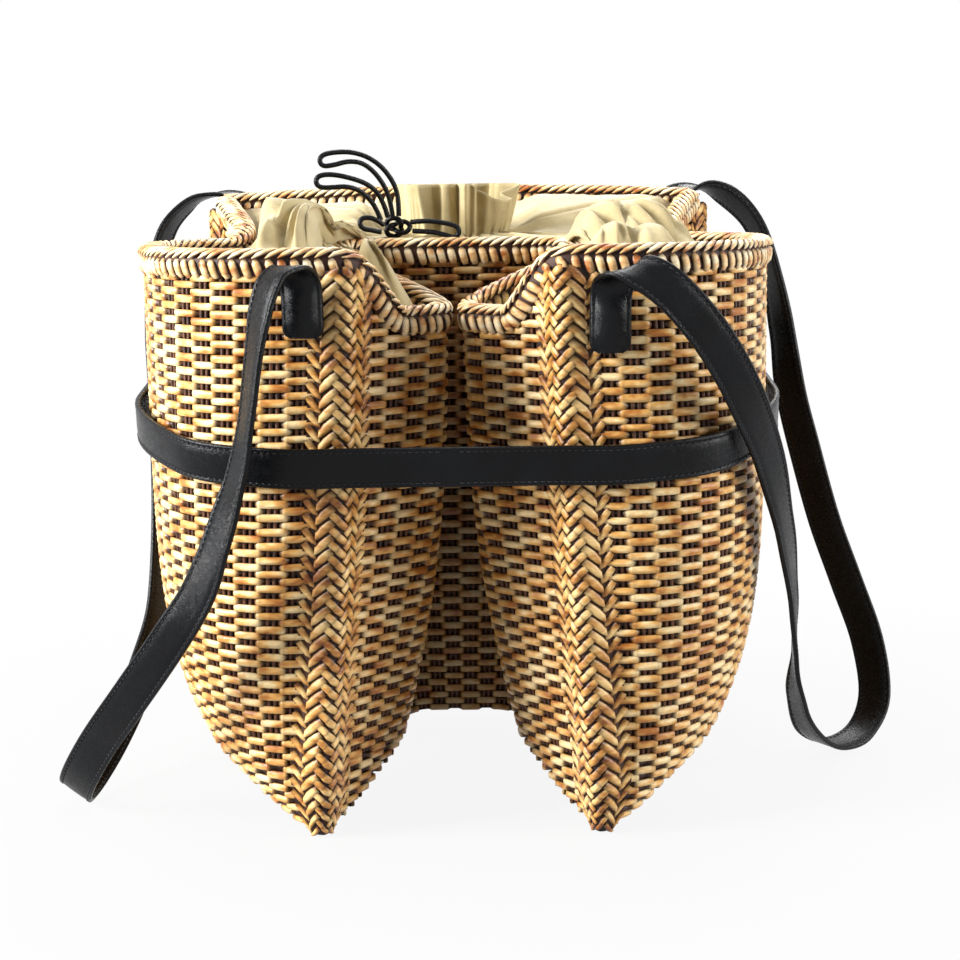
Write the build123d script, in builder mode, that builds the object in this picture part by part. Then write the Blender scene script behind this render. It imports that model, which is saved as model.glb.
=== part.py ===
from build123d import *
import os
from math import atan2, cos, degrees, hypot, pi, radians, sin, tan

# Driving sizes of the basket, in millimetres
half_width = 165.0
depth = 247.0
rim_height = 302.0
back_rise = 28.0
flap_dip = 31.0
floor_height = 38.0
wall = 5.0
course_height = 10.4
course_swell = 0.9
course_dip = 1.3
foot_spot = 9.0

# Where the woven wall is parted into panels and a base
base_tall = 50.0
front_panel_half = 72.0
front_panel_deep = 120.0
side_panel_deep = 210.0

# Where the basket's front stands in the part's frame
axis_x = -17.3
front_y = -116.7

# Border and plaited corner ridges
rim_tall = 13.5
rim_thick = 11.0
rim_wrap_pitch = 10.0
wrap_waist_share = 0.84
foot_share = 0.7
belly_share = 0.5
crown_share = 0.4
seat_gap = 0.4
ridge_width = 21.0
ridge_crest = 7.0
ridge_edge = 3.0
bead_waist_share = 0.78

# Leather belt and carrying straps
belt_width = 20.3
belt_thick = 2.6
belt_height = 197.5
belt_tilt_share = 0.17
belt_ease = 1.7
belt_lean_share = 0.05
strap_width = 20.3
strap_thick = 2.6

# Cotton lining and gathered collar
lining_wall = 1.2
collar_wall = 1.6
collar_gap = 2.4
collar_rise = 29.0
collar_drop = 4.0
brim_drop = 11.0
hem_tall = 14.0
hem_flare = 7.0
mouth_half_width = 72.0
mouth_half_depth = 32.0
gather_depth = 4.0

# Drawstring
cord_diameter = 2.8
bend_share = 0.45
knot_length = 15.0
knot_width = 11.0
knot_round_share = 0.33
knot_spot = (-32.6, 128.0, 308.0)

clearance = 0.4
overrun = 20.0

# Plan of the right half from the front's middle to the back's middle:
# rim x and y, floor x and y, then how fast the wall swells above the floor
front_shares = [
    (0.000, 0.445, 0.000, 0.425, 2.0),
    (0.170, 0.445, 0.070, 0.425, 2.0),
    (0.310, 0.441, 0.130, 0.420, 2.5),
    (0.360, 0.395, 0.190, 0.375, 2.5),
    (0.225, 0.312, 0.195, 0.300, 2.5),
    (0.028, 0.192, 0.200, 0.210, 2.8),
    (0.160, 0.093, 0.275, 0.130, 2.2),
]
corner_shares = (0.327, 0.000, 0.427, 0.016, 1.5)
side_shares = [
    (0.560, -0.016, 0.590, 0.040, 4.0),
    (0.820, 0.073, 0.745, 0.140, 5.0),
    (1.000, 0.350, 0.803, 0.290, 6.0),
    (0.964, 0.518, 0.720, 0.415, 6.0),
    (0.764, 0.668, 0.643, 0.540, 5.0),
    (0.800, 0.810, 0.655, 0.700, 5.0),
]
back_corner_shares = (0.879, 0.951, 0.690, 0.860, 5.0)
back_shares = [
    (0.470, 0.988, 0.370, 0.907, 5.0),
    (0.000, 1.000, 0.000, 0.919, 5.0),
]

# Dip of the flap rims: where along the depth they fall and climb again
dip_fall_shares = (0.008, 0.101)
dip_climb_shares = (0.182, 0.425)
dip_half_share = 0.420
rise_start_share = 0.640
seat_steps = 70
sharpest_miter_share = 0.5

# Feet: tip places and the points that close each foot underneath
front_tip_shares = (0.440, 0.042)
front_under_shares = [(0.470, 0.400)]
back_tip_shares = (0.575, 0.800)
back_under_shares = [(0.550, 0.870), (0.425, 0.830), (0.400, 0.700), (0.500, 0.570)]
foot_taper_share = 0.75
foot_level_shares = [1.0, 0.78, 0.56, 0.36, 0.18, 0.0]
inner_level_shares = [0.0, 0.07, 0.17, 0.33, 0.60, 1.0]

# Brim of the collar, right half, point for point as the plan, and the mouth's angles
collar_shares = [
    (0.000, 0.500),
    (0.170, 0.500),
    (0.345, 0.500),
    (0.490, 0.430),
    (0.440, 0.330),
    (0.400, 0.240),
    (0.410, 0.160),
    (0.440, 0.100),
    (0.570, 0.060),
    (0.780, 0.135),
    (0.915, 0.350),
    (0.885, 0.500),
    (0.690, 0.650),
    (0.710, 0.800),
    (0.762, 0.885),
    (0.420, 0.935),
    (0.000, 0.945),
]
mouth_angles = [-90, -77, -61, -46, -39, -33, -28, -22, -14, -5, 6, 17, 30, 43, 57, 74, 90]
mouth_centre_share = 0.720
gather_steps = 2

# Strap routes in shares of half width, depth and rim height, each with its width direction
left_strap_shares = [
    ((-0.442, -0.036, 0.858), (1.0, 0.0, 0.0)),
    ((-0.442, -0.036, 0.905), (1.0, 0.0, 0.0)),
    ((-0.446, -0.043, 0.945), (1.0, 0.0, 0.0)),
    ((-0.468, -0.075, 0.972), (0.9, -0.4, 0.0)),
    ((-0.515, -0.104, 0.960), (0.7, -0.7, 0.1)),
    ((-0.548, -0.116, 0.915), (0.6, -0.8, 0.0)),
    ((-0.576, -0.118, 0.834), (0.45, -0.9, 0.0)),
    ((-0.603, -0.115, 0.735), (0.4, -0.9, 0.0)),
    ((-0.637, -0.110, 0.649), (0.5, -0.85, -0.1)),
    ((-0.697, -0.102, 0.550), (0.65, -0.7, -0.2)),
    ((-0.770, -0.085, 0.450), (0.75, -0.5, -0.35)),
    ((-0.879, -0.045, 0.358), (0.78, -0.3, -0.5)),
    ((-1.018, 0.020, 0.252), (0.78, -0.15, -0.55)),
    ((-1.145, 0.100, 0.156), (0.78, 0.0, -0.58)),
    ((-1.236, 0.170, 0.075), (0.78, 0.0, -0.62)),
    ((-1.272, 0.240, 0.030), (0.78, 0.0, -0.62)),
    ((-1.248, 0.325, 0.040), (0.78, 0.1, -0.62)),
    ((-1.195, 0.430, 0.090), (0.75, 0.2, -0.55)),
    ((-1.135, 0.560, 0.170), (0.6, 0.6, -0.4)),
    ((-1.100, 0.690, 0.285), (0.4, 0.9, -0.2)),
    ((-1.105, 0.800, 0.474), (0.25, 0.95, 0.0)),
    ((-1.122, 0.870, 0.682), (0.2, 0.98, 0.0)),
    ((-1.135, 0.910, 0.811), (0.2, 0.98, 0.0)),
    ((-1.125, 0.945, 0.930), (0.25, 0.95, 0.1)),
    ((-1.075, 0.985, 1.016), (0.4, 0.9, 0.2)),
    ((-0.985, 1.025, 1.066), (0.5, 0.8, 0.2)),
    ((-0.890, 1.055, 1.078), (0.6, 0.75, 0.0)),
    ((-0.800, 1.062, 1.060), (0.75, 0.6, -0.1)),
    ((-0.735, 1.048, 1.016), (0.95, 0.2, -0.1)),
    ((-0.715, 1.020, 0.970), (1.0, 0.0, 0.0)),
    ((-0.712, 1.005, 0.920), (1.0, 0.0, 0.0)),
    ((-0.712, 1.003, 0.855), (1.0, 0.0, 0.0)),
]
right_strap_shares = [
    ((0.461, -0.036, 0.828), (1.0, 0.0, 0.0)),
    ((0.461, -0.036, 0.885), (1.0, 0.0, 0.0)),
    ((0.466, -0.043, 0.932), (1.0, 0.0, 0.0)),
    ((0.495, -0.078, 0.960), (0.9, 0.35, 0.2)),
    ((0.558, -0.106, 0.957), (0.7, 0.3, 0.6)),
    ((0.630, -0.114, 0.930), (0.65, 0.2, 0.7)),
    ((0.715, -0.098, 0.880), (0.75, 0.1, 0.65)),
    ((0.788, -0.060, 0.825), (0.8, 0.1, 0.55)),
    ((0.862, -0.008, 0.755), (0.85, 0.2, 0.5)),
    ((0.960, 0.095, 0.642), (0.75, 0.6, 0.3)),
    ((1.042, 0.200, 0.494), (0.5, 0.85, 0.1)),
    ((1.092, 0.285, 0.358), (0.3, 0.95, 0.05)),
    ((1.118, 0.355, 0.240), (0.1, 1.0, 0.0)),
    ((1.140, 0.410, 0.140), (-0.3, 0.95, 0.0)),
    ((1.200, 0.465, 0.062), (-0.5, 0.85, -0.1)),
    ((1.300, 0.530, 0.022), (-0.5, 0.85, 0.0)),
    ((1.410, 0.590, 0.030), (-0.5, 0.85, 0.1)),
    ((1.478, 0.640, 0.090), (-0.7, 0.7, 0.1)),
    ((1.468, 0.705, 0.190), (-0.8, 0.6, 0.0)),
    ((1.405, 0.768, 0.302), (-0.85, 0.5, -0.2)),
    ((1.335, 0.815, 0.418), (-0.85, 0.5, -0.25)),
    ((1.272, 0.858, 0.554), (-0.85, 0.5, -0.2)),
    ((1.224, 0.898, 0.673), (-0.8, 0.6, -0.15)),
    ((1.198, 0.930, 0.791), (-0.6, 0.8, -0.1)),
    ((1.160, 0.958, 0.910), (-0.4, 0.9, -0.15)),
    ((1.100, 0.985, 1.005), (-0.4, 0.9, -0.25)),
    ((1.010, 1.020, 1.060), (-0.5, 0.8, -0.2)),
    ((0.905, 1.052, 1.078), (-0.6, 0.75, 0.0)),
    ((0.805, 1.062, 1.060), (-0.75, 0.6, 0.1)),
    ((0.738, 1.048, 1.016), (-0.95, 0.2, 0.1)),
    ((0.715, 1.020, 0.970), (-1.0, 0.0, 0.0)),
    ((0.712, 1.005, 0.920), (-1.0, 0.0, 0.0)),
    ((0.712, 1.003, 0.855), (-1.0, 0.0, 0.0)),
]
route_steps = 2
strap_span = 4

# Drawstring routes from the basket's front middle, chosen by eye
cord_routes = {
    "drawstring_upper_loop": [
        (-31.3, 126.0, 314.1), (-31.2, 127.0, 322.8), (-33.2, 126.0, 331.5), (-39.5, 124.0, 340.8),
        (-47.4, 121.0, 346.6), (-56.0, 117.5, 349.3), (-65.0, 114.0, 349.2), (-71.3, 111.8, 347.9),
        (-73.2, 111.0, 344.8), (-71.4, 111.6, 341.6), (-65.6, 113.8, 342.2), (-57.8, 117.5, 344.4),
        (-50.2, 121.0, 343.4), (-43.4, 124.0, 337.6), (-38.2, 126.5, 329.4), (-35.7, 127.5, 321.2),
        (-34.7, 127.0, 313.5),
    ],
    "drawstring_lower_loop": [
        (-37.2, 123.0, 313.7), (-39.2, 122.0, 321.3), (-43.4, 120.0, 328.5), (-49.7, 117.0, 332.9),
        (-58.1, 113.0, 335.7), (-66.5, 110.2, 337.4), (-73.3, 108.5, 336.9), (-75.3, 108.0, 333.7),
        (-73.4, 108.4, 330.4), (-67.0, 110.3, 330.2), (-59.0, 113.5, 330.9), (-51.9, 117.0, 328.6),
        (-46.8, 120.0, 323.6), (-43.2, 122.0, 318.1), (-41.1, 123.0, 312.1),
    ],
    "drawstring_left_loop": [
        (-39.5, 120.5, 309.4), (-43.7, 118.0, 313.2), (-50.5, 116.0, 314.0), (-52.6, 115.4, 310.9),
        (-50.8, 115.8, 307.6), (-46.0, 117.8, 306.9), (-41.2, 120.5, 305.6),
    ],
    "drawstring_right_tail": [
        (-24.6, 122.0, 310.8), (-17.4, 120.0, 311.5), (-9.7, 118.5, 310.9), (-3.0, 117.5, 309.6),
        (1.5, 117.1, 307.9), (2.1, 117.1, 304.3), (-0.7, 117.3, 301.9), (-6.3, 118.3, 303.9),
        (-13.5, 119.6, 305.6), (-23.6, 122.0, 305.9),
    ],
}

os.makedirs("parts", exist_ok=True)


# Where a share of the plan stands in the part's frame
def plan(x_share, y_share):
    return (axis_x + x_share * half_width, front_y + y_share * depth)


# One plan point at a height: the wall swells quickly above the floor
def wall_point(shares, height):
    rim_x, rim_y, floor_x, floor_y, swell = shares
    left_to_go = max(0.0, (rim_height - height) / (rim_height - floor_height))
    grown = 1.0 - min(1.0, left_to_go) ** swell
    return plan(floor_x + (rim_x - floor_x) * grown, floor_y + (rim_y - floor_y) * grown)


# The other side's copy of a plan point
def across(point):
    return (2 * axis_x - point[0], point[1])


# A right half, front to back, closed with its copy on the left
def closed_loop(half):
    return half + [across(p) for p in reversed(half[1:-1])]


# Points of the whole plan: front right, back right, back left, front left
def plan_loop(height):
    half_shares = front_shares + [corner_shares] + side_shares + [back_corner_shares] + back_shares
    return closed_loop([wall_point(s, height) for s in half_shares])


# Move each point of a closed loop along its mitred normal, outward if positive
def moved_loop(loop, distance):
    moved = []
    for i, (x, y) in enumerate(loop):
        ax, ay = loop[i - 1]
        bx, by = loop[(i + 1) % len(loop)]
        before = atan2(y - ay, x - ax)
        turn = (atan2(by - y, bx - x) - before + pi) % (2 * pi) - pi
        stretch = distance / max(sharpest_miter_share, cos(turn / 2))
        normal = before + turn / 2 - pi / 2
        moved.append((x + stretch * cos(normal), y + stretch * sin(normal)))
    return moved


# One section as four curves, right, back, left and front, that meet at the plaited corners
def draw_plan(height, distance):
    loop = moved_loop(plan_loop(height), distance)
    front_corner = len(front_shares)
    back_corner = front_corner + len(side_shares) + 1
    last = len(loop)
    right = Spline(*loop[front_corner:back_corner + 1])
    back = Spline(*loop[back_corner:last - back_corner + 1])
    left = Spline(*loop[last - back_corner:last - front_corner + 1])
    front = Spline(*loop[last - front_corner:], *loop[:front_corner + 1])
    return right, back, left, front


# Foot loops: the floor's corner shrinks towards the tip
def foot_loop(is_front, level_share):
    if is_front:
        chosen = front_shares[-2:] + [corner_shares] + side_shares[:4]
        under_shares = front_under_shares
        tip = plan(*front_tip_shares)
    else:
        chosen = side_shares[-2:] + [back_corner_shares]
        under_shares = back_under_shares
        tip = plan(*back_tip_shares)
    outline = [wall_point(s, floor_height) for s in chosen] + [plan(*s) for s in under_shares]
    widest = max(hypot(x - tip[0], y - tip[1]) for x, y in outline)
    size = max(level_share ** foot_taper_share, foot_spot / widest)
    return [(tip[0] + (x - tip[0]) * size, tip[1] + (y - tip[1]) * size) for x, y in outline]


# A foot section whose plaited corner, its third point, stays sharp
def draw_foot(is_front, level_share, distance, right_side):
    loop = moved_loop(foot_loop(is_front, level_share), distance)
    if not right_side:
        loop = [across(p) for p in loop]
    corner = 2
    after = Spline(*loop[corner:], loop[0])
    before = Spline(*loop[:corner + 1])
    return after, before


# Alternate courses stand out and lie back, as the weft passes over and under
def course_levels(bottom, top):
    count = max(2, round((top - bottom) / course_height))
    step = (top - bottom) / (2 * count)
    return [(bottom + i * step, course_swell if i % 2 else -course_dip) for i in range(2 * count + 1)]


# A soft step from 0 to 1
def soft_step(value, low, high):
    s = min(1.0, max(0.0, (value - low) / (high - low)))
    return s * s * (3 - 2 * s)


# How far the border stands below or above the rim height at a plan point
def rim_change(x, y):
    share = (y - front_y) / depth
    rise = back_rise * max(0.0, (share - rise_start_share) / (1 - rise_start_share))
    if abs(x - axis_x) > dip_half_share * half_width:
        return rise
    fall = soft_step(share, *dip_fall_shares)
    climb = soft_step(share, *dip_climb_shares)
    return rise - flap_dip * min(fall, 1 - climb)


# Take away all that stands above the border's seat
def cut_above_seat():
    seat = rim_height - rim_tall
    ceiling = rim_height + back_rise + overrun
    start = front_y - overrun
    end = front_y + depth + overrun
    strip = dip_half_share * half_width
    steps = [start + (end - start) * i / seat_steps for i in range(seat_steps + 1)]
    spans = [(axis_x - strip, axis_x + strip), (axis_x + strip, axis_x + half_width + overrun)]
    spans.append((axis_x - half_width - overrun, axis_x - strip))
    for low, high in spans:
        middle = (low + high) / 2
        edge = [(y, seat + rim_change(middle, y)) for y in steps]
        with BuildSketch(Plane.YZ.offset(low)) as above:
            with BuildLine():
                Polyline(*edge, (end, ceiling), (start, ceiling), close=True)
            make_face()
        extrude(above.sketch, amount=high - low, mode=Mode.SUBTRACT)


# A flat polygon section on its own plane
def polygon_section(plane, points):
    with BuildSketch(plane) as section:
        with BuildLine():
            Polyline(*points, close=True)
        make_face()
    return section.sketch.faces()[0]


# Border sections along part of a curve, wide and narrow in turn
def border_sections(curve, start, end, count, first_turn):
    sections = []
    for i in range(count + 1):
        spot = curve.position_at(start + (end - start) * i / count)
        heading = curve.tangent_at(start + (end - start) * i / count)
        miter = 1.0
        if i == 0 and first_turn:
            miter = 1 / cos(radians(first_turn.get_angle(heading)) / 2)
            heading = (heading + first_turn).normalized()
        outward = heading.cross(Vector(0, 0, 1))
        change = rim_change(spot.X, spot.Y)
        full = 1.0 if i % 2 else wrap_waist_share
        w = rim_thick / 2 * full * miter
        h = rim_tall * full
        inner, outer = spot - outward * (foot_share * w), spot + outward * (foot_share * w)
        inner_foot = rim_change(inner.X, inner.Y) - change
        outer_foot = rim_change(outer.X, outer.Y) - change
        section = [
            (-foot_share * w, inner_foot),
            (foot_share * w, outer_foot),
            (w, belly_share * (h + outer_foot)),
            (crown_share * w, h),
            (-crown_share * w, h),
            (-w, belly_share * (h + inner_foot)),
        ]
        base = rim_height - rim_tall + change + seat_gap
        place = Plane(origin=(spot.X, spot.Y, base), x_dir=outward, z_dir=-heading)
        sections.append(polygon_section(place, section))
    return sections


# One section of a corner plait: a chevron that lies on both walls beside the corner
def ridge_section(level, after, before, distance, bead):
    reach = ridge_width / 2 * (1.0 if bead else bead_waist_share)
    crest = ridge_crest * (1.0 if bead else bead_waist_share)
    right_at = reach / after.length
    left_at = 1 - reach / before.length
    up = Vector(0, 0, 1)
    right_spot, right_out = after.position_at(right_at), after.tangent_at(right_at).cross(up)
    left_spot, left_out = before.position_at(left_at), before.tangent_at(left_at).cross(up)
    right_end = after.tangent_at(0).cross(up)
    left_end = before.tangent_at(1).cross(up)
    out = (right_end + left_end).normalized()
    miter = 1 / cos(radians(right_end.get_angle(left_end)) / 2)
    corner = after.position_at(0)
    chevron = [
        corner + out * distance * miter,
        right_spot + right_out * distance,
        right_spot + right_out * (distance + ridge_edge),
        corner + out * (distance * miter + crest),
        left_spot + left_out * (distance + ridge_edge),
        left_spot + left_out * distance,
    ]
    return polygon_section(Plane.XY.offset(level), [(p.X, p.Y) for p in chevron])


# All sections of a right-hand corner plait, foot to border
def ridge_sections(is_front):
    sections = []
    for share in reversed(foot_level_shares[1:-2]):
        with BuildLine():
            after, before = draw_foot(is_front, share, -course_swell, True)
        sections.append(ridge_section(share * floor_height, after, before, clearance, len(sections) % 2))
    with BuildLine():
        right, back, left, front = draw_plan(rim_height, course_swell + clearance)
    beside = front if is_front else right
    wing = beside.position_at(1 - ridge_width / 2 / beside.length)
    top = rim_height - rim_tall + rim_change(wing.X, wing.Y) - clearance
    levels = [(z, s) for z, s in course_levels(floor_height, wall_top) if z < top - clearance]
    for level, swell in levels + [(top, course_swell)]:
        with BuildLine():
            right, back, left, front = draw_plan(level, swell)
        after, before = (right, front) if is_front else (back, right)
        sections.append(ridge_section(level, after, before, clearance, len(sections) % 2))
    return sections


# A smooth route through the chosen places, with their width directions
def smooth_route(stops):
    places = [Vector(axis_x + x * half_width, front_y + y * depth, z * rim_height) for (x, y, z), _ in stops]
    widths = [Vector(*w) for _, w in stops]
    route = []
    for i in range(len(places) - 1):
        a, b = places[max(0, i - 1)], places[i]
        c, d = places[i + 1], places[min(len(places) - 1, i + 2)]
        for k in range(route_steps):
            t = k / route_steps
            spot = b + (c - a) * (t / 2)
            spot += (a * 2 - b * 5 + c * 4 - d) * (t * t / 2)
            spot += (b * 3 - a - c * 3 + d) * (t * t * t / 2)
            route.append((spot, widths[i] * (1 - t) + widths[i + 1] * t))
    route.append((places[-1], widths[-1]))
    return route


# Strap sections square to the route
def strap_sections(stops):
    route = smooth_route(stops)
    w, t = strap_width / 2, strap_thick / 2
    sections = []
    for i, (spot, width) in enumerate(route):
        heading = (route[min(len(route) - 1, i + 1)][0] - route[max(0, i - 1)][0]).normalized()
        flat = (width - heading * width.dot(heading)).normalized()
        place = Plane(origin=spot, x_dir=flat, z_dir=heading)
        sections.append(polygon_section(place, [(-w, -t), (w, -t), (w, t), (-w, t)]))
    return sections


# Round a closed loop of points off by a smooth curve, with points added between
def refined_loop(loop, steps):
    fine = []
    count = len(loop)
    for i in range(count):
        a, b, c, d = (loop[(i + k) % count] for k in (-1, 0, 1, 2))
        for k in range(steps):
            t = k / steps
            fine.append(tuple(
                b[j] + (c[j] - a[j]) * t / 2
                + (2 * a[j] - 5 * b[j] + 4 * c[j] - d[j]) * t * t / 2
                + (3 * b[j] - a[j] - 3 * c[j] + d[j]) * t ** 3 / 2
                for j in (0, 1)
            ))
    return fine


# Points along the true plan, as many as a refined loop has
def sampled_plan(height, distance):
    with BuildLine():
        right, back, left, front = draw_plan(height, distance)
    stretches = [
        (front, 0.5, 1.0, len(front_shares)),
        (right, 0.0, 1.0, len(side_shares) + 1),
        (back, 0.0, 0.5, len(back_shares)),
    ]
    half = []
    for curve, start, end, spans in stretches:
        count = spans * gather_steps
        half += [curve.position_at(start + (end - start) * i / count) for i in range(count)]
    half.append(back.position_at(0.5))
    return closed_loop([(p.X, p.Y) for p in half])


# A loop pushed in and out in turn, as gathers
def gathered(loop, gather):
    outer, inner = moved_loop(loop, gather / 2), moved_loop(loop, -gather / 2)
    return [outer[i] if i % 2 else inner[i] for i in range(len(loop))]


# An oval whose points match the plan's points by their angles
def mouth_loop(half_wide, half_deep):
    centre_x, centre_y = plan(0, mouth_centre_share)
    half = []
    for angle in mouth_angles:
        half.append((centre_x + half_wide * cos(radians(angle)), centre_y + half_deep * sin(radians(angle))))
    return closed_loop(half)


# A cord along straight runs joined by arcs as large as the runs allow
def cord_radii(points):
    radii = []
    for a, b, c in zip(points, points[1:], points[2:]):
        before, after = Vector(*b) - Vector(*a), Vector(*c) - Vector(*b)
        half_turn = radians(before.get_angle(after)) / 2
        radii.append(bend_share * min(before.length, after.length) / tan(half_turn))
    return radii


wall_top = rim_height + back_rise

# Plaited border along the top of the wall, right half and its mirror
with BuildPart() as rim_border:
    with BuildLine():
        right_curve, back_curve, left_curve, front_curve = draw_plan(rim_height, -wall / 2)
    front_count = 2 * round(front_curve.length / 2 / rim_wrap_pitch)
    right_count = 2 * round(right_curve.length / rim_wrap_pitch)
    back_count = 2 * round(back_curve.length / 2 / rim_wrap_pitch)
    sections = border_sections(front_curve, 0.5, 1.0, front_count, None)[:-1]
    sections += border_sections(right_curve, 0.0, 1.0, right_count, front_curve.tangent_at(1))[:-1]
    sections += border_sections(back_curve, 0.0, 0.5, back_count, right_curve.tangent_at(1))
    loft(sections, ruled=True)
    mirror(about=Plane.YZ.offset(axis_x))

# Woven wall in one: ridged courses outside, smooth inside, on four pointed feet
with BuildPart() as woven_wall:
    for level, swell in course_levels(floor_height, wall_top):
        with BuildSketch(Plane.XY.offset(level)):
            with BuildLine():
                draw_plan(level, swell)
            make_face()
    loft(ruled=True)
    for is_front in (True, False):
        for right_side in (True, False):
            for share in foot_level_shares:
                with BuildSketch(Plane.XY.offset(share * floor_height)):
                    with BuildLine():
                        draw_foot(is_front, share, -course_dip - course_swell, right_side)
                    make_face()
            loft(ruled=True)
    for share in inner_level_shares:
        level = floor_height + wall + (wall_top - floor_height) * share
        with BuildSketch(Plane.XY.offset(level)):
            with BuildLine():
                draw_plan(level, -wall)
            make_face()
    loft(ruled=True, mode=Mode.SUBTRACT)
    cut_above_seat()
    add(rim_border.part, mode=Mode.SUBTRACT)

# Panels beside the plaited corners, and the base with the feet
side_reach = axis_x + half_width + overrun
front_edge = front_y - overrun
front_back_edge = front_y + front_panel_deep
side_back_edge = front_y + side_panel_deep
back_edge = front_y + depth + overrun
ceiling = wall_top + overrun
left_reach = axis_x - half_width - overrun
panel_bounds = {
    "woven_base": ((left_reach, front_edge, -overrun), (side_reach, back_edge, base_tall)),
    "woven_front": (
        (axis_x - front_panel_half, front_edge, base_tall),
        (axis_x + front_panel_half, front_back_edge, ceiling),
    ),
    "woven_right": ((axis_x + front_panel_half, front_edge, base_tall), (side_reach, side_back_edge, ceiling)),
    "woven_left": ((left_reach, front_edge, base_tall), (axis_x - front_panel_half, side_back_edge, ceiling)),
    "woven_back": ((left_reach, side_back_edge, base_tall), (side_reach, back_edge, ceiling)),
}
panels = {}
for name, (low, high) in panel_bounds.items():
    size = [b - a for a, b in zip(low, high)]
    with BuildPart() as panel:
        add(woven_wall.part)
        with Locations(low):
            Box(*size, align=Align.MIN, mode=Mode.INTERSECT)
    panels[name] = panel

# Plaited ridges up the four corners
with BuildPart() as front_right_ridge:
    loft(ridge_sections(True), ruled=True)
with BuildPart() as back_right_ridge:
    loft(ridge_sections(False), ruled=True)
with BuildPart() as front_left_ridge:
    mirror(front_right_ridge.part, about=Plane.YZ.offset(axis_x))
with BuildPart() as back_left_ridge:
    mirror(back_right_ridge.part, about=Plane.YZ.offset(axis_x))

# Belt: pulled straight across the folds, higher at the back
belt_angle = degrees(atan2(belt_tilt_share, 1))
belt_plane = Plane(
    origin=(axis_x, front_y, belt_height),
    x_dir=(1, 0, 0),
    z_dir=(0, -sin(radians(belt_angle)), cos(radians(belt_angle))),
)
belt_slack = belt_ease + belt_width / 2 * sin(radians(belt_angle))
belt_off_wall = course_swell + belt_slack
belt_off_ridge = course_swell + clearance + ridge_crest + belt_slack


# A plan point of the belt on its tilted plane, some distance off the wall
def belt_spot(shares, distance):
    loop = moved_loop(plan_loop(belt_height), distance)
    order = front_shares + [corner_shares] + side_shares + [back_corner_shares] + back_shares
    x, y = loop[order.index(shares)]
    return (x - axis_x, (y - front_y) / cos(radians(belt_angle)))


# The belt's line: straight over the front fold, round the lobes, straight to the back corners
def draw_belt(extra):
    front_right = belt_spot(corner_shares, belt_off_ridge + extra)
    lobe = [belt_spot(s, belt_off_wall + extra) for s in side_shares[:3]]
    back_right = belt_spot(back_corner_shares, belt_off_ridge + extra)
    back_middle = belt_spot(back_shares[-1], belt_off_wall + extra)
    reach = (back_right[0] - lobe[-1][0], back_right[1] - lobe[-1][1])
    for side in (1, -1):
        right_lobe = [(side * x, y) for x, y in [front_right] + lobe]
        Spline(*right_lobe, tangents=[(side, -belt_lean_share), (side * reach[0], reach[1])])
        Line(right_lobe[-1], (side * back_right[0], back_right[1]))
    Line((-front_right[0], front_right[1]), front_right)
    ThreePointArc(back_right, back_middle, (-back_right[0], back_right[1]))


with BuildPart() as waist_belt:
    with BuildSketch(belt_plane) as belt_plan:
        with BuildLine():
            draw_belt(belt_thick)
        make_face()
        with BuildLine():
            draw_belt(0)
        make_face(mode=Mode.SUBTRACT)
    extrude(amount=belt_width / 2, both=True)

# Carrying straps, sewn flat on the wall at both ends, each lofted in short spans as it twists
straps = {}
for name, stops in (("left_strap", left_strap_shares), ("right_strap", right_strap_shares)):
    sections = strap_sections(stops)
    with BuildPart() as strap:
        for first in range(0, len(sections) - 1, strap_span):
            loft(sections[first:first + strap_span + 1], ruled=True)
    straps[name] = strap

# Cotton lining close inside the wall
lining_off = wall + clearance
with BuildPart() as cotton_lining:
    for share in inner_level_shares:
        level = floor_height + wall + clearance + (wall_top - floor_height) * share
        with BuildSketch(Plane.XY.offset(level)):
            with BuildLine():
                draw_plan(level, -lining_off)
            make_face()
    loft(ruled=True)
    for share in inner_level_shares:
        level = floor_height + wall + clearance + lining_wall + (wall_top - floor_height) * share
        with BuildSketch(Plane.XY.offset(level)):
            with BuildLine():
                draw_plan(level, -lining_off - lining_wall)
            make_face()
    loft(ruled=True, mode=Mode.SUBTRACT)
    cut_above_seat()

# Gathered collar: from the lining's wall up and in to a drawn mouth with a ruffled hem
collar_off = lining_off + lining_wall + collar_gap
collar_base = rim_height - rim_tall - flap_dip - collar_drop
collar_top = rim_height + collar_rise
base_loop = sampled_plan(collar_base, -collar_off)
brim_loop = refined_loop(closed_loop([plan(*s) for s in collar_shares]), gather_steps)
neck_loop = refined_loop(mouth_loop(mouth_half_width, mouth_half_depth), gather_steps)
hem_loop = refined_loop(mouth_loop(mouth_half_width + hem_flare, mouth_half_depth + hem_flare), gather_steps)
collar_loops = [
    (collar_base, base_loop),
    (rim_height - brim_drop, gathered(brim_loop, gather_depth / 2)),
    (collar_top - hem_tall, gathered(neck_loop, gather_depth)),
    (collar_top, gathered(hem_loop, gather_depth)),
]
with BuildPart() as drawstring_collar:
    loft([polygon_section(Plane.XY.offset(z), loop) for z, loop in collar_loops], ruled=True)
    inner_loops = [(z - collar_wall, moved_loop(loop, -collar_wall)) for z, loop in collar_loops]
    inner_loops.append((collar_top + collar_wall, inner_loops[-1][1]))
    loft([polygon_section(Plane.XY.offset(z), loop) for z, loop in inner_loops], ruled=True, mode=Mode.SUBTRACT)

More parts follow.
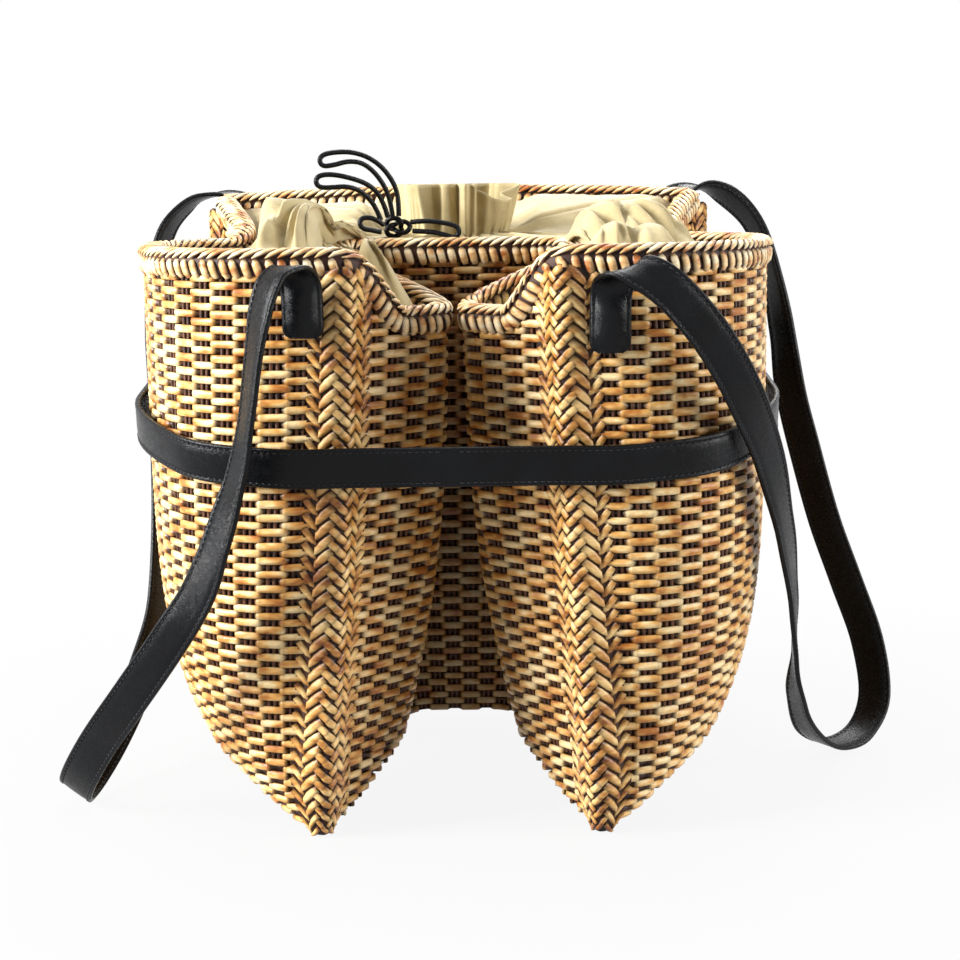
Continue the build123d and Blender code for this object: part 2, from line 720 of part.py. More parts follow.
# Drawstring loops and tail, each a tube along its own route
cords = {}
for name, route in cord_routes.items():
    points = [(axis_x + x, front_y + y, z) for x, y, z in route]
    radii = cord_radii(points)
    with BuildPart() as cord:
        with BuildLine():
            path = FilletPolyline(*points, radius=radii)
        with BuildSketch(Plane(origin=points[0], z_dir=path.tangent_at(0))):
            Circle(cord_diameter / 2)
        sweep(path=path)
    cords[name] = cord
    plain_volume = pi * cord_diameter ** 2 / 4 * path.length
    print(name, "radii", [round(r, 1) for r in radii])
    print(name, "length", round(path.length, 1), "volume share", round(cord.part.volume / plain_volume, 4))

# Knot that gathers the drawstring
knot_place = Plane(
    origin=(axis_x + knot_spot[0], front_y + knot_spot[1], knot_spot[2]),
    x_dir=(1, 0, 0),
    z_dir=(0, -1, 0),
)
with BuildPart() as drawstring_knot:
    with BuildSketch(knot_place):
        Ellipse(knot_length / 2, knot_width / 2)
    extrude(amount=knot_width / 2, both=True)
    fillet(drawstring_knot.edges(), radius=knot_width * knot_round_share)

pieces = {
    "rim_border": rim_border,
    "front_right_ridge": front_right_ridge,
    "front_left_ridge": front_left_ridge,
    "back_right_ridge": back_right_ridge,
    "back_left_ridge": back_left_ridge,
    "waist_belt": waist_belt,
    "cotton_lining": cotton_lining,
    "drawstring_collar": drawstring_collar,
    "drawstring_knot": drawstring_knot,
} | panels | straps | cords
for name, piece in pieces.items():
    piece.part.label = name
    export_step(piece.part, f"parts/{name}.step")
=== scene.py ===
from math import atan2, ceil, cos, pi, radians, sin
import bpy
import numpy as np
from mathutils import Matrix, Vector


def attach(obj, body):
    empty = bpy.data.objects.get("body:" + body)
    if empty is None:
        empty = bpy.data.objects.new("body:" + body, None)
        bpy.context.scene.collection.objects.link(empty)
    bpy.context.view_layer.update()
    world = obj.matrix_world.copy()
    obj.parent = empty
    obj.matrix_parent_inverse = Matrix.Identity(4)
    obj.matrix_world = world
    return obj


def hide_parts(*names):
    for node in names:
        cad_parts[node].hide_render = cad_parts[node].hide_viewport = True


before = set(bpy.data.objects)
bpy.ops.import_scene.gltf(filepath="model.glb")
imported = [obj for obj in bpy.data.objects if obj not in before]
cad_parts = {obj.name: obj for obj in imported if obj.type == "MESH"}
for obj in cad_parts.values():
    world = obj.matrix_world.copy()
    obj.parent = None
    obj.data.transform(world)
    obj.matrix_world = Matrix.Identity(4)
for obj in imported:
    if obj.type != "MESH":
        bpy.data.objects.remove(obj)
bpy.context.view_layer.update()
MM = 0.001
chance = np.random.default_rng(7)

# Sizes repeated from the part's source, in millimetres
half_width, depth, rim_height, back_rise, flap_dip, floor_height = 165.0, 247.0, 302.0, 28.0, 31.0, 38.0
axis_x, front_y = -17.3, -116.7
wall, rim_tall, foot_spot = 5.0, 13.5, 9.0
ridge_width, ridge_crest = 21.0, 7.0
belt_width, belt_thick, belt_height, belt_tilt_share, belt_ease = 20.3, 2.6, 197.5, 0.17, 1.7
strap_width, strap_thick = 20.3, 2.6
cord_diameter = 2.8
wall_top = rim_height + back_rise
seat = rim_height - rim_tall

front_shares = [
    (0, 0.445, 0, 0.425, 2), (0.17, 0.445, 0.07, 0.425, 2), (0.31, 0.441, 0.13, 0.42, 2.5),
    (0.36, 0.395, 0.19, 0.375, 2.5), (0.225, 0.312, 0.195, 0.3, 2.5), (0.028, 0.192, 0.2, 0.21, 2.8),
    (0.16, 0.093, 0.275, 0.13, 2.2),
]
corner_shares = (0.327, 0.000, 0.427, 0.016, 1.5)
side_shares = [
    (0.56, -0.016, 0.59, 0.04, 4), (0.82, 0.073, 0.745, 0.14, 5), (1, 0.35, 0.803, 0.29, 6),
    (0.964, 0.518, 0.72, 0.415, 6), (0.764, 0.668, 0.643, 0.54, 5), (0.8, 0.81, 0.655, 0.7, 5),
]
back_corner_shares = (0.879, 0.951, 0.690, 0.860, 5.0)
back_shares = [(0.470, 0.988, 0.370, 0.907, 5.0), (0.000, 1.000, 0.000, 0.919, 5.0)]
half_shares = front_shares + [corner_shares] + side_shares + [back_corner_shares] + back_shares
front_corner = len(front_shares)
back_corner = front_corner + len(side_shares) + 1
dip_fall_shares, dip_climb_shares, dip_half_share, rise_start_share = (0.008, 0.101), (0.182, 0.425), 0.420, 0.640
front_tip_shares, front_under_shares = (0.440, 0.042), [(0.470, 0.400)]
back_tip_shares = (0.575, 0.800)
back_under_shares = [(0.550, 0.870), (0.425, 0.830), (0.400, 0.700), (0.500, 0.570)]
foot_taper_share = 0.75
mouth_angles = [-90, -77, -61, -46, -39, -33, -28, -22, -14, -5, 6, 17, 30, 43, 57, 74, 90]
# Each strap's stops: place, then the direction of its width
left_strap_shares = [
    (-0.442, -0.036, 0.858, 1, 0, 0), (-0.442, -0.036, 0.905, 1, 0, 0),
    (-0.446, -0.043, 0.945, 1, 0, 0), (-0.468, -0.075, 0.972, 0.9, -0.4, 0),
    (-0.515, -0.104, 0.96, 0.7, -0.7, 0.1), (-0.548, -0.116, 0.915, 0.6, -0.8, 0),
    (-0.576, -0.118, 0.834, 0.45, -0.9, 0), (-0.603, -0.115, 0.735, 0.4, -0.9, 0),
    (-0.637, -0.11, 0.649, 0.5, -0.85, -0.1), (-0.697, -0.102, 0.55, 0.65, -0.7, -0.2),
    (-0.77, -0.085, 0.45, 0.75, -0.5, -0.35), (-0.879, -0.045, 0.358, 0.78, -0.3, -0.5),
    (-1.018, 0.02, 0.252, 0.78, -0.15, -0.55), (-1.145, 0.1, 0.156, 0.78, 0, -0.58),
    (-1.236, 0.17, 0.075, 0.78, 0, -0.62), (-1.272, 0.24, 0.03, 0.78, 0, -0.62),
    (-1.248, 0.325, 0.04, 0.78, 0.1, -0.62), (-1.195, 0.43, 0.09, 0.75, 0.2, -0.55),
    (-1.135, 0.56, 0.17, 0.6, 0.6, -0.4), (-1.1, 0.69, 0.285, 0.4, 0.9, -0.2),
    (-1.105, 0.8, 0.474, 0.25, 0.95, 0), (-1.122, 0.87, 0.682, 0.2, 0.98, 0),
    (-1.135, 0.91, 0.811, 0.2, 0.98, 0), (-1.125, 0.945, 0.93, 0.25, 0.95, 0.1),
    (-1.075, 0.985, 1.016, 0.4, 0.9, 0.2), (-0.985, 1.025, 1.066, 0.5, 0.8, 0.2),
    (-0.89, 1.055, 1.078, 0.6, 0.75, 0), (-0.8, 1.062, 1.06, 0.75, 0.6, -0.1),
    (-0.735, 1.048, 1.016, 0.95, 0.2, -0.1), (-0.715, 1.02, 0.97, 1, 0, 0),
    (-0.712, 1.005, 0.92, 1, 0, 0), (-0.712, 1.003, 0.855, 1, 0, 0),
]
right_strap_shares = [
    (0.461, -0.036, 0.828, 1, 0, 0), (0.461, -0.036, 0.885, 1, 0, 0),
    (0.466, -0.043, 0.932, 1, 0, 0), (0.495, -0.078, 0.96, 0.9, 0.35, 0.2),
    (0.558, -0.106, 0.957, 0.7, 0.3, 0.6), (0.63, -0.114, 0.93, 0.65, 0.2, 0.7),
    (0.715, -0.098, 0.88, 0.75, 0.1, 0.65), (0.788, -0.06, 0.825, 0.8, 0.1, 0.55),
    (0.862, -0.008, 0.755, 0.85, 0.2, 0.5), (0.96, 0.095, 0.642, 0.75, 0.6, 0.3),
    (1.042, 0.2, 0.494, 0.5, 0.85, 0.1), (1.092, 0.285, 0.358, 0.3, 0.95, 0.05),
    (1.118, 0.355, 0.24, 0.1, 1, 0), (1.14, 0.41, 0.14, -0.3, 0.95, 0),
    (1.2, 0.465, 0.062, -0.5, 0.85, -0.1), (1.3, 0.53, 0.022, -0.5, 0.85, 0),
    (1.41, 0.59, 0.03, -0.5, 0.85, 0.1), (1.478, 0.64, 0.09, -0.7, 0.7, 0.1),
    (1.468, 0.705, 0.19, -0.8, 0.6, 0), (1.405, 0.768, 0.302, -0.85, 0.5, -0.2),
    (1.335, 0.815, 0.418, -0.85, 0.5, -0.25), (1.272, 0.858, 0.554, -0.85, 0.5, -0.2),
    (1.224, 0.898, 0.673, -0.8, 0.6, -0.15), (1.198, 0.93, 0.791, -0.6, 0.8, -0.1),
    (1.16, 0.958, 0.91, -0.4, 0.9, -0.15), (1.1, 0.985, 1.005, -0.4, 0.9, -0.25),
    (1.01, 1.02, 1.06, -0.5, 0.8, -0.2), (0.905, 1.052, 1.078, -0.6, 0.75, 0),
    (0.805, 1.062, 1.06, -0.75, 0.6, 0.1), (0.738, 1.048, 1.016, -0.95, 0.2, 0.1),
    (0.715, 1.02, 0.97, -1, 0, 0), (0.712, 1.005, 0.92, -1, 0, 0),
    (0.712, 1.003, 0.855, -1, 0, 0),
]
knot_spot = (-32.6, 128.0, 308.0)
cord_routes = {
    "drawstring_upper_loop": [
        (-31.3, 126.0, 314.1), (-31.2, 127.0, 322.8), (-33.2, 126.0, 331.5), (-39.5, 124.0, 340.8),
        (-47.4, 121.0, 346.6), (-56.0, 117.5, 349.3), (-65.0, 114.0, 349.2), (-71.3, 111.8, 347.9),
        (-73.2, 111.0, 344.8), (-71.4, 111.6, 341.6), (-65.6, 113.8, 342.2), (-57.8, 117.5, 344.4),
        (-50.2, 121.0, 343.4), (-43.4, 124.0, 337.6), (-38.2, 126.5, 329.4), (-35.7, 127.5, 321.2),
        (-34.7, 127.0, 313.5),
    ],
    "drawstring_lower_loop": [
        (-37.2, 123.0, 313.7), (-39.2, 122.0, 321.3), (-43.4, 120.0, 328.5), (-49.7, 117.0, 332.9),
        (-58.1, 113.0, 335.7), (-66.5, 110.2, 337.4), (-73.3, 108.5, 336.9), (-75.3, 108.0, 333.7),
        (-73.4, 108.4, 330.4), (-67.0, 110.3, 330.2), (-59.0, 113.5, 330.9), (-51.9, 117.0, 328.6),
        (-46.8, 120.0, 323.6), (-43.2, 122.0, 318.1), (-41.1, 123.0, 312.1),
    ],
    "drawstring_left_loop": [
        (-39.5, 120.5, 309.4), (-43.7, 118.0, 313.2), (-50.5, 116.0, 314.0), (-52.6, 115.4, 310.9),
        (-50.8, 115.8, 307.6), (-46.0, 117.8, 306.9), (-41.2, 120.5, 305.6),
    ],
    "drawstring_right_tail": [
        (-24.6, 122.0, 310.8), (-17.4, 120.0, 311.5), (-9.7, 118.5, 310.9), (-3.0, 117.5, 309.6),
        (1.5, 117.1, 307.9), (2.1, 117.1, 304.3), (-0.7, 117.3, 301.9), (-6.3, 118.3, 303.9),
        (-13.5, 119.6, 305.6), (-23.6, 122.0, 305.9),
    ],
}


# Plan geometry, as in the part's source
def plan(x_share, y_share):
    return np.array([axis_x + x_share * half_width, front_y + y_share * depth])


def wall_point(shares, height):
    rim_x, rim_y, floor_x, floor_y, swell = shares
    left_to_go = min(1.0, max(0.0, (rim_height - height) / (rim_height - floor_height)))
    grown = 1.0 - left_to_go ** swell
    return plan(floor_x + (rim_x - floor_x) * grown, floor_y + (rim_y - floor_y) * grown)


def across(p):
    return np.array([2 * axis_x - p[0], p[1]])


# Points in three dimensions, seen across the middle
def mirrored(points):
    return points * np.array([-1, 1, 1]) + np.array([2 * axis_x, 0, 0])


def closed_loop(half):
    return half + [across(p) for p in reversed(half[1:-1])]


# How far along a line each of its points lies
def measured(line):
    return np.concatenate([[0], np.cumsum(np.linalg.norm(np.diff(line, axis=0), axis=1))])


# A smooth curve through points, sampled finely
def spline(points, count=260):
    p = np.array(points, dtype=float)
    n = len(p)
    h = np.linalg.norm(np.diff(p, axis=0), axis=1)
    k = measured(p)
    a = np.zeros((n, n))
    rhs = np.zeros((n, p.shape[1]))
    a[0, 0] = a[-1, -1] = 1
    for i in range(1, n - 1):
        a[i, i - 1:i + 2] = h[i - 1], 2 * (h[i - 1] + h[i]), h[i]
        rhs[i] = 6 * ((p[i + 1] - p[i]) / h[i] - (p[i] - p[i - 1]) / h[i - 1])
    m = np.linalg.solve(a, rhs)
    t = np.linspace(0, k[-1], count)
    i = np.clip(np.searchsorted(k, t, side="right") - 1, 0, n - 2)
    u, v = ((k[i + 1] - t) / h[i])[:, None], ((t - k[i]) / h[i])[:, None]
    bend = ((u ** 3 - u) * m[i] + (v ** 3 - v) * m[i + 1]) * (h[i] ** 2)[:, None] / 6
    return u * p[i] + v * p[i + 1] + bend


# The four stretches of the wall's plan at a height
def plan_curves(height):
    loop = closed_loop([wall_point(s, height) for s in half_shares])
    last = len(loop)
    return {
        "right": spline(loop[front_corner:back_corner + 1]),
        "back": spline(loop[back_corner:last - back_corner + 1]),
        "left": spline(loop[last - back_corner:last - front_corner + 1]),
        "front": spline(loop[last - front_corner:] + loop[:front_corner + 1], 520),
    }


# Foot curves: after the plaited corner and before it
def foot_curves(is_front, level_share):
    if is_front:
        chosen, under, tip = front_shares[-2:] + [corner_shares] + side_shares[:4], front_under_shares, front_tip_shares
    else:
        chosen, under, tip = side_shares[-2:] + [back_corner_shares], back_under_shares, back_tip_shares
    tip = plan(*tip)
    outline = [wall_point(s, floor_height) for s in chosen] + [plan(*s) for s in under]
    widest = max(np.linalg.norm(p - tip) for p in outline)
    size = max(level_share ** foot_taper_share, foot_spot / widest)
    loop = [tip + (p - tip) * size for p in outline]
    return spline(loop[2:] + [loop[0]], 160), spline(loop[:3], 80), size


# Places and outward directions at distances along a curve
def along(curve, distances):
    s = measured(curve)
    heading = np.gradient(curve, s, axis=0)
    spot = np.stack([np.interp(distances, s, curve[:, j]) for j in (0, 1)], 1)
    way = np.stack([np.interp(distances, s, heading[:, j]) for j in (0, 1)], 1)
    way /= np.linalg.norm(way, axis=1)[:, None]
    return spot, np.stack([way[:, 1], -way[:, 0]], 1)


def curve_length(curve):
    return np.linalg.norm(np.diff(curve, axis=0), axis=1).sum()


# Places and outward directions at even steps that stop short of the curve's end
def even_steps(curve, count):
    return along(curve, np.linspace(0, curve_length(curve), count, endpoint=False))


def soft_step(value, low, high):
    s = np.clip((value - low) / (high - low), 0, 1)
    return s * s * (3 - 2 * s)


# Grows from a least share to the whole
def from_least(least, share):
    return least + (1 - least) * share


# How far the border stands below or above the rim height
def rim_change(x, y):
    share = (y - front_y) / depth
    rise = back_rise * np.maximum(0.0, (share - rise_start_share) / (1 - rise_start_share))
    fall = soft_step(share, *dip_fall_shares)
    climb = soft_step(share, *dip_climb_shares)
    dip = flap_dip * np.minimum(fall, 1 - climb)
    return rise - np.where(np.abs(x - axis_x) > dip_half_share * half_width, 0.0, dip)


def unit(v):
    return v / np.maximum(1e-9, np.linalg.norm(v, axis=-1, keepdims=True))


def placed(name, data):
    thing = bpy.data.objects.new(name, data)
    bpy.context.scene.collection.objects.link(thing)
    return thing


# Mesh objects from arrays in millimetres
def mesh_piece(name, verts, faces, material, shade=None, smooth=True):
    mesh = bpy.data.meshes.new(name)
    mesh.from_pydata(verts.reshape(-1, 3) * MM, [], list(faces))
    if smooth:
        mesh.polygons.foreach_set("use_smooth", np.ones(len(mesh.polygons), dtype=bool))
    # Per-vertex painted shade, which the cane materials read as the tuck value
    if shade is not None:
        attribute = mesh.attributes.new("tuck_shade", "FLOAT", "POINT")
        attribute.data.foreach_set("value", np.asarray(shade, dtype=np.float32).ravel())
    mesh.materials.append(material)
    piece = placed(name, mesh)
    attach(piece, "root")
    return piece


# Faces of a grid of points, rows by columns
def grid_faces(rows, columns, start=0, wrap=False):
    i, j = np.meshgrid(np.arange(rows - 1), np.arange(columns if wrap else columns - 1), indexing="ij")
    n = (j + 1) % columns
    quad = np.stack([i * columns + j, i * columns + n, (i + 1) * columns + n, (i + 1) * columns + j], -1)
    return start + quad.reshape(-1, 4)


# How far painted shade comes up across a strand, from one edge to the other
edge_shade = np.array([1.0, 0.24, 0.0, 0.24, 1.0])
# Cross-sections of a strand and of a stroke: across, then outwards
strand_profile = np.array([(-1.0, -0.5), (-0.86, 0.66), (0.0, 1.0), (0.86, 0.66), (1.0, -0.5)])
stroke_profile = [(-1.0, -0.3), (-0.72, 0.72), (0.0, 1.0), (0.72, 0.72), (1.0, -0.3)]


# Collects strands of one material into one piece
class Bundle:
    def __init__(self):
        self.verts, self.faces, self.shade, self.count = [], [], [], 0

    def add(self, verts, faces, shade):
        self.verts.append(verts.reshape(-1, 3))
        self.faces.append(faces + self.count)
        self.shade.append(np.maximum(shade[..., None], edge_shade).ravel())
        self.count += len(self.verts[-1])

    # A crowned strand: centre, outward and rise directions, half sizes, and which samples exist
    def strand(self, centre, out, rise, half_out, half_rise, exists, shade):
        n, sides = len(centre), len(strand_profile)
        half_rise = np.broadcast_to(half_rise, n)[:, None, None]
        v = centre[:, None, :] + rise[:, None, :] * half_rise * strand_profile[None, :, :1]
        v = v + out[:, None, :] * half_out * strand_profile[None, :, 1:]
        faces = grid_faces(n, sides)
        if exists is not None:
            keep = exists[:-1] & exists[1:]
            faces = faces.reshape(n - 1, sides - 1, 4)[keep].reshape(-1, 4)
        self.add(v, faces, shade)

    # Many short crowned strokes at once: places and normals are strokes by stations by 3
    def strokes(self, spots, normals, half_wide, crown, shade):
        strokes, stations, _ = spots.shape
        wide = unit(np.cross(np.gradient(spots, axis=1), normals))
        half_wide = np.broadcast_to(half_wide, (strokes, stations))[..., None]
        v = np.stack([spots + wide * half_wide * a + normals * crown * b for a, b in stroke_profile], 2)
        starts = np.arange(strokes) * stations * len(stroke_profile)
        faces = grid_faces(stations, len(stroke_profile))[None] + starts[:, None, None]
        self.add(v, faces.reshape(-1, 4), np.broadcast_to(shade, (strokes, stations)))

    def make(self, name, material, slot):
        return mesh_piece(name, np.concatenate(self.verts), np.concatenate(self.faces), material,
                          np.concatenate(self.shade))


# Materials
def linear(r, g, b):
    return tuple(c / 12.92 if c <= 0.04045 else ((c + 0.055) / 1.055) ** 2.4 for c in (r, g, b)) + (1.0,)


def new_material(name):
    m = bpy.data.materials.new(name)
    m.use_nodes = True
    return m, m.node_tree, m.node_tree.nodes["Principled BSDF"]


# Each input gets a link from another node, or a constant of its own
def set_inputs(tree, node, inputs):
    for name, value in inputs.items():
        if isinstance(value, bpy.types.NodeSocket):
            tree.links.new(value, node.inputs[name])
        else:
            node.inputs[name].default_value = value


def add_node(tree, kind, inputs={}, **settings):
    node = tree.nodes.new("ShaderNode" + kind)
    for name, value in settings.items():
        setattr(node, name, value)
    set_inputs(tree, node, inputs)
    return node


def mapped(tree, scale):
    where = add_node(tree, "TexCoord").outputs["Object"]
    return add_node(tree, "Mapping", {"Scale": scale, "Vector": where}).outputs["Vector"]


def noise(tree, vector, scale, detail=3.0, rough=0.55):
    inputs = {"Scale": scale, "Detail": detail, "Roughness": rough, "Vector": vector}
    return add_node(tree, "TexNoise", inputs).outputs["Fac"]


def ramp(tree, value, stops):
    node = add_node(tree, "ValToRGB", {"Fac": value})
    elements = node.color_ramp.elements
    while len(elements) < len(stops):
        elements.new(0.5)
    for element, (place, colour) in zip(elements, stops):
        element.position, element.color = place, colour
    return node.outputs["Color"]


def mix(tree, share, a, b, kind="MIX"):
    return add_node(tree, "Mix", {0: share, 6: a, 7: b}, data_type="RGBA", blend_type=kind).outputs[2]


def bump(tree, height, strength, distance, **before):
    inputs = {"Strength": strength, "Distance": distance, "Height": height, **before}
    return add_node(tree, "Bump", inputs).outputs["Normal"]


# Split cane: patchy cream to honey, fine grain, with painted shade mixed in by the tuck value where it tucks behind a
# stake or under its neighbours
def cane_material(name, light, middle, dark, shade_tone, rough):
    m, tree, skin = new_material(name)
    patch = noise(tree, mapped(tree, (70, 70, 150)), 1.0, 2.0)
    tone = ramp(tree, patch, [(0.32, linear(*dark)), (0.47, linear(*middle)), (0.62, linear(*light))])
    grain = noise(tree, mapped(tree, (300, 300, 1500)), 1.0, 4.0)
    lines = ramp(tree, grain, [(0.25, (0.72, 0.66, 0.6, 1)), (0.6, (1, 1, 1, 1))])
    tone = mix(tree, 0.7, tone, lines, "MULTIPLY")
    # The tuck value carries painted shade: darker where strands tuck behind stakes or under neighbours, along strand
    # edges and deep in the front fold
    tuck_shade = add_node(tree, "Attribute", attribute_name="tuck_shade").outputs["Fac"]
    set_inputs(tree, skin, {
        "Base Color": mix(tree, tuck_shade, tone, linear(*shade_tone)), "Normal": bump(tree, grain, 0.35, 0.0006),
        "Roughness": rough, "Specular IOR Level": 0.32,
    })
    return m


weft_material = cane_material("cane_weft", (.99, .88, .66), (.90, .69, .39), (.70, .43, .18), (.20, .09, .03), 0.36)
border_material = cane_material("cane_border", (1.0, .92, .76), (.94, .77, .53), (.68, .39, .17), (.17, .07, .03), 0.34)
plait_material = cane_material("cane_plait", (.97, .82, .55), (.84, .61, .32), (.56, .32, .13), (.15, .06, .02), 0.34)
stake_material = cane_material("cane_stake", (.38, .23, .13), (.28, .15, .07), (.16, .08, .03), (.10, .05, .03), 0.5)
# Dark cane for the sheets and cores behind the strands: painted shade in the gaps
shade_core_material = cane_material("painted_shade_core", (.26, .13, .06), (.18, .08, .03), (.10, .04, .02), (.08, .04, .02), 0.6)


# Black leather: fine grain, worn sheen
def leather_material(name, base, worn, rough):
    m, tree, skin = new_material(name)
    where = mapped(tree, (1, 1, 1))
    cells = add_node(tree, "TexVoronoi", {"Scale": 1100, "Vector": where}, feature="DISTANCE_TO_EDGE")
    creases = noise(tree, where, 260, 6.0, 0.65)
    patch = noise(tree, where, 35, 3.0)
    grain = bump(tree, cells.outputs["Distance"], 0.40, 0.0005)
    spread = {"From Min": 0.3, "From Max": 0.7, "To Min": rough - 0.06, "To Max": rough + 0.10, "Value": creases}
    set_inputs(tree, skin, {
        "Base Color": ramp(tree, patch, [(0.35, linear(*base)), (0.7, linear(*worn))]),
        "Normal": bump(tree, creases, 0.2, 0.0008, Normal=grain),
        "Roughness": add_node(tree, "MapRange", spread).outputs["Result"], "Specular IOR Level": 0.15,
    })
    return m


leather = leather_material("black_leather", (.018, .020, .027), (.045, .051, .064), 0.26)
thread = leather_material("black_thread", (.09, .09, .10), (.20, .20, .22), 0.45)


# Plain cotton: fine weave and soft blotches
def cotton_material(name, light, dark):
    m, tree, skin = new_material(name)
    patch = noise(tree, mapped(tree, (1, 1, 1)), 40, 4.0)
    fibre = noise(tree, mapped(tree, (900, 900, 2600)), 1.0, 2.0)
    tone = ramp(tree, patch, [(0.3, linear(*dark)), (0.7, linear(*light))])
    lines = ramp(tree, fibre, [(0.3, (0.86, 0.85, 0.82, 1)), (0.65, (1, 1, 1, 1))])
    set_inputs(tree, skin, {
        "Base Color": mix(tree, 0.8, tone, lines, "MULTIPLY"), "Normal": bump(tree, fibre, 0.3, 0.0005),
        "Roughness": 0.92, "Sheen Weight": 0.25,
    })
    return m


cotton = cotton_material("beige_cotton", (.77, .71, .54), (.64, .57, .40))

# Woven wall: weft strands in and out of paired stakes
row_pitch, weave_deep, weave_mid = 3.6, 1.5, -1.2
stake_counts = {"right": 25, "back": 22, "left": 25, "front": 32}
cell_places = np.array([-0.47, -0.35, -0.23, 0.0, 0.23, 0.35, 0.47])
strand_tall, strand_thinning, strand_out = 2.05, 0.40, 0.9
height_spread, thick_spread, spread_count = 0.16, 0.05, 64
# Where a strand dips, thins and takes painted shade, in stakes from the middle of its float; each painted shade starts
# with its share
dip_span, thin_span, shade_spans = (0.54, 0.80), (0.46, 0.72), ((0.30, 0.22, 0.52), (0.70, 0.54, 0.68))
# Painted shade that darkens the cane deep in the front fold, measured back from the front
painted_fold_shade, fold_span, fold_end, fold_half_width = 0.42, (62.0, 104.0), 130.0, 66.0
weft = {name: Bundle() for name in stake_counts}
stakes = {name: Bundle() for name in stake_counts}
feet_weft = Bundle()
up = np.array([0.0, 0.0, 1.0])


def lifted(spots, height):
    return np.column_stack([spots, np.broadcast_to(height, len(spots))])


# One weft strand along a curve at a height; phase counts stakes, and a float is longer than the gap it leaves
def weft_strand(bundle, curve, height, distances, phase, row, deep, size, exists):
    spot, out = along(curve, distances)
    back = spot[:, 1] - front_y
    # Painted shade deep in the front fold
    folded = (np.abs(spot[:, 0] - axis_x) < fold_half_width) & (back < fold_end)
    fold_shade = painted_fold_shade * soft_step(back, *fold_span) * folded
    from_float = np.abs((phase + row + 1.0) % 2.0 - 1.0)
    wave = 1.0 - 2.0 * soft_step(from_float, *dip_span)
    each_float = np.floor((phase + row + 1.0) / 2.0).astype(int) % spread_count
    jitter = chance.normal(0, height_spread, spread_count)[each_float]
    thick = 1.0 + chance.normal(0, thick_spread, spread_count)[each_float]
    centre = lifted(spot + out * (weave_mid + deep * wave)[:, None], height + jitter * size)
    out3 = lifted(out, 0.0)
    tall = (strand_tall - strand_thinning * soft_step(from_float, *thin_span)) * size * thick
    # Painted shade towards each float's ends, where the strand tucks behind a stake
    tuck_shade = sum(share * soft_step(from_float, *span) for share, *span in shade_spans)
    bundle.strand(centre, out3, np.broadcast_to(up, out3.shape), strand_out * size, tall, exists,
                  np.maximum(tuck_shade, fold_shade))


rim_overlap, least_size, full_spacing = 2.5, 0.55, 11.0
row_count = ceil((wall_top - rim_tall - floor_height) / row_pitch)
for row in range(row_count):
    height = floor_height + (row + 0.5) * row_pitch
    for name, curve in plan_curves(height).items():
        n = stake_counts[name]
        phase = (np.arange(n)[:, None] + cell_places[None]).ravel()
        length = curve_length(curve)
        distances = (phase + 0.5) / n * length
        spot, _ = along(curve, distances)
        exists = height <= seat + rim_change(*spot.T) + rim_overlap
        size = min(1.0, from_least(least_size, length / n / full_spacing))
        if exists.any():
            weft_strand(weft[name], curve, height, distances, phase, row, weave_deep, size, exists)

# Feet: the same weave on the shrinking foot loops
foot_rows = int(floor_height / row_pitch)
floor_curves = plan_curves(floor_height)
spacing = {name: curve_length(floor_curves[name]) / stake_counts[name] for name in stake_counts}
lowest_row, foot_deep_share, foot_size_share = 3.0, 0.4, 0.7
for row in range(-foot_rows, 0):
    height = floor_height + (row + 0.5) * row_pitch
    if height < lowest_row:
        continue
    for is_front in (True, False):
        after, before, size = foot_curves(is_front, height / floor_height)
        names = ("right", "front") if is_front else ("back", "right")
        for curve, name, is_after in ((after, names[0], True), (before, names[1], False)):
            length = curve_length(curve)
            cells = ceil(length / spacing[name])
            phase = (np.arange(cells)[:, None] + cell_places[None]).ravel()
            from_corner = np.minimum((phase + 0.5) * spacing[name], length)
            distances = from_corner if is_after else length - from_corner
            if name == "front" or (name == "right" and not is_front):
                phase = stake_counts[name] - 1 - phase
            for flip in (False, True):
                line = np.array([across(p) for p in curve[::-1]]) if flip else curve
                d = length - distances if flip else distances
                order = np.argsort(d)
                weft_strand(feet_weft, line, height, d[order], phase[order], row,
                            weave_deep * from_least(foot_deep_share, size), from_least(foot_size_share, size), None)

# Paired stakes, and a dark sheet behind the weave: painted shade seen through its gaps
stake_radius, stake_apart, stake_apart_share = 1.1, 1.7, 0.15
stake_start, stake_end, stake_step, stake_overlap = floor_height + 1.2, wall_top - 2.0, 9.0, 3.0
levels = np.concatenate([np.arange(stake_start, wall_top, stake_step), [stake_end]])
level_curves = [plan_curves(h) for h in levels]
for name, n in stake_counts.items():
    places, outs = [], []
    for curve in level_curves:
        length = curve_length(curve[name])
        middle = (np.arange(n) + 0.5) / n * length
        off = min(stake_apart, stake_apart_share * length / n)
        both = np.sort(np.concatenate([middle - off, middle + off]))
        spot, out = along(curve[name], both)
        places.append(spot)
        outs.append(out)
    places, outs = np.array(places), np.array(outs)
    for k in range(2 * n):
        tops = seat + rim_change(*places[:, k].T) + stake_overlap
        centre = lifted(places[:, k] + outs[:, k] * weave_mid, levels)
        side = lifted(outs[:, k], 0.0)
        stakes[name].strand(centre, side, np.cross(side, up), stake_radius, stake_radius, levels <= tops,
                            np.zeros(len(levels)))

for name in stake_counts:
    piece = weft[name].make("weave_" + name, weft_material, "rattan")
    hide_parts("woven_" + name)
    stakes[name].make("stakes_" + name, stake_material, "rattan")


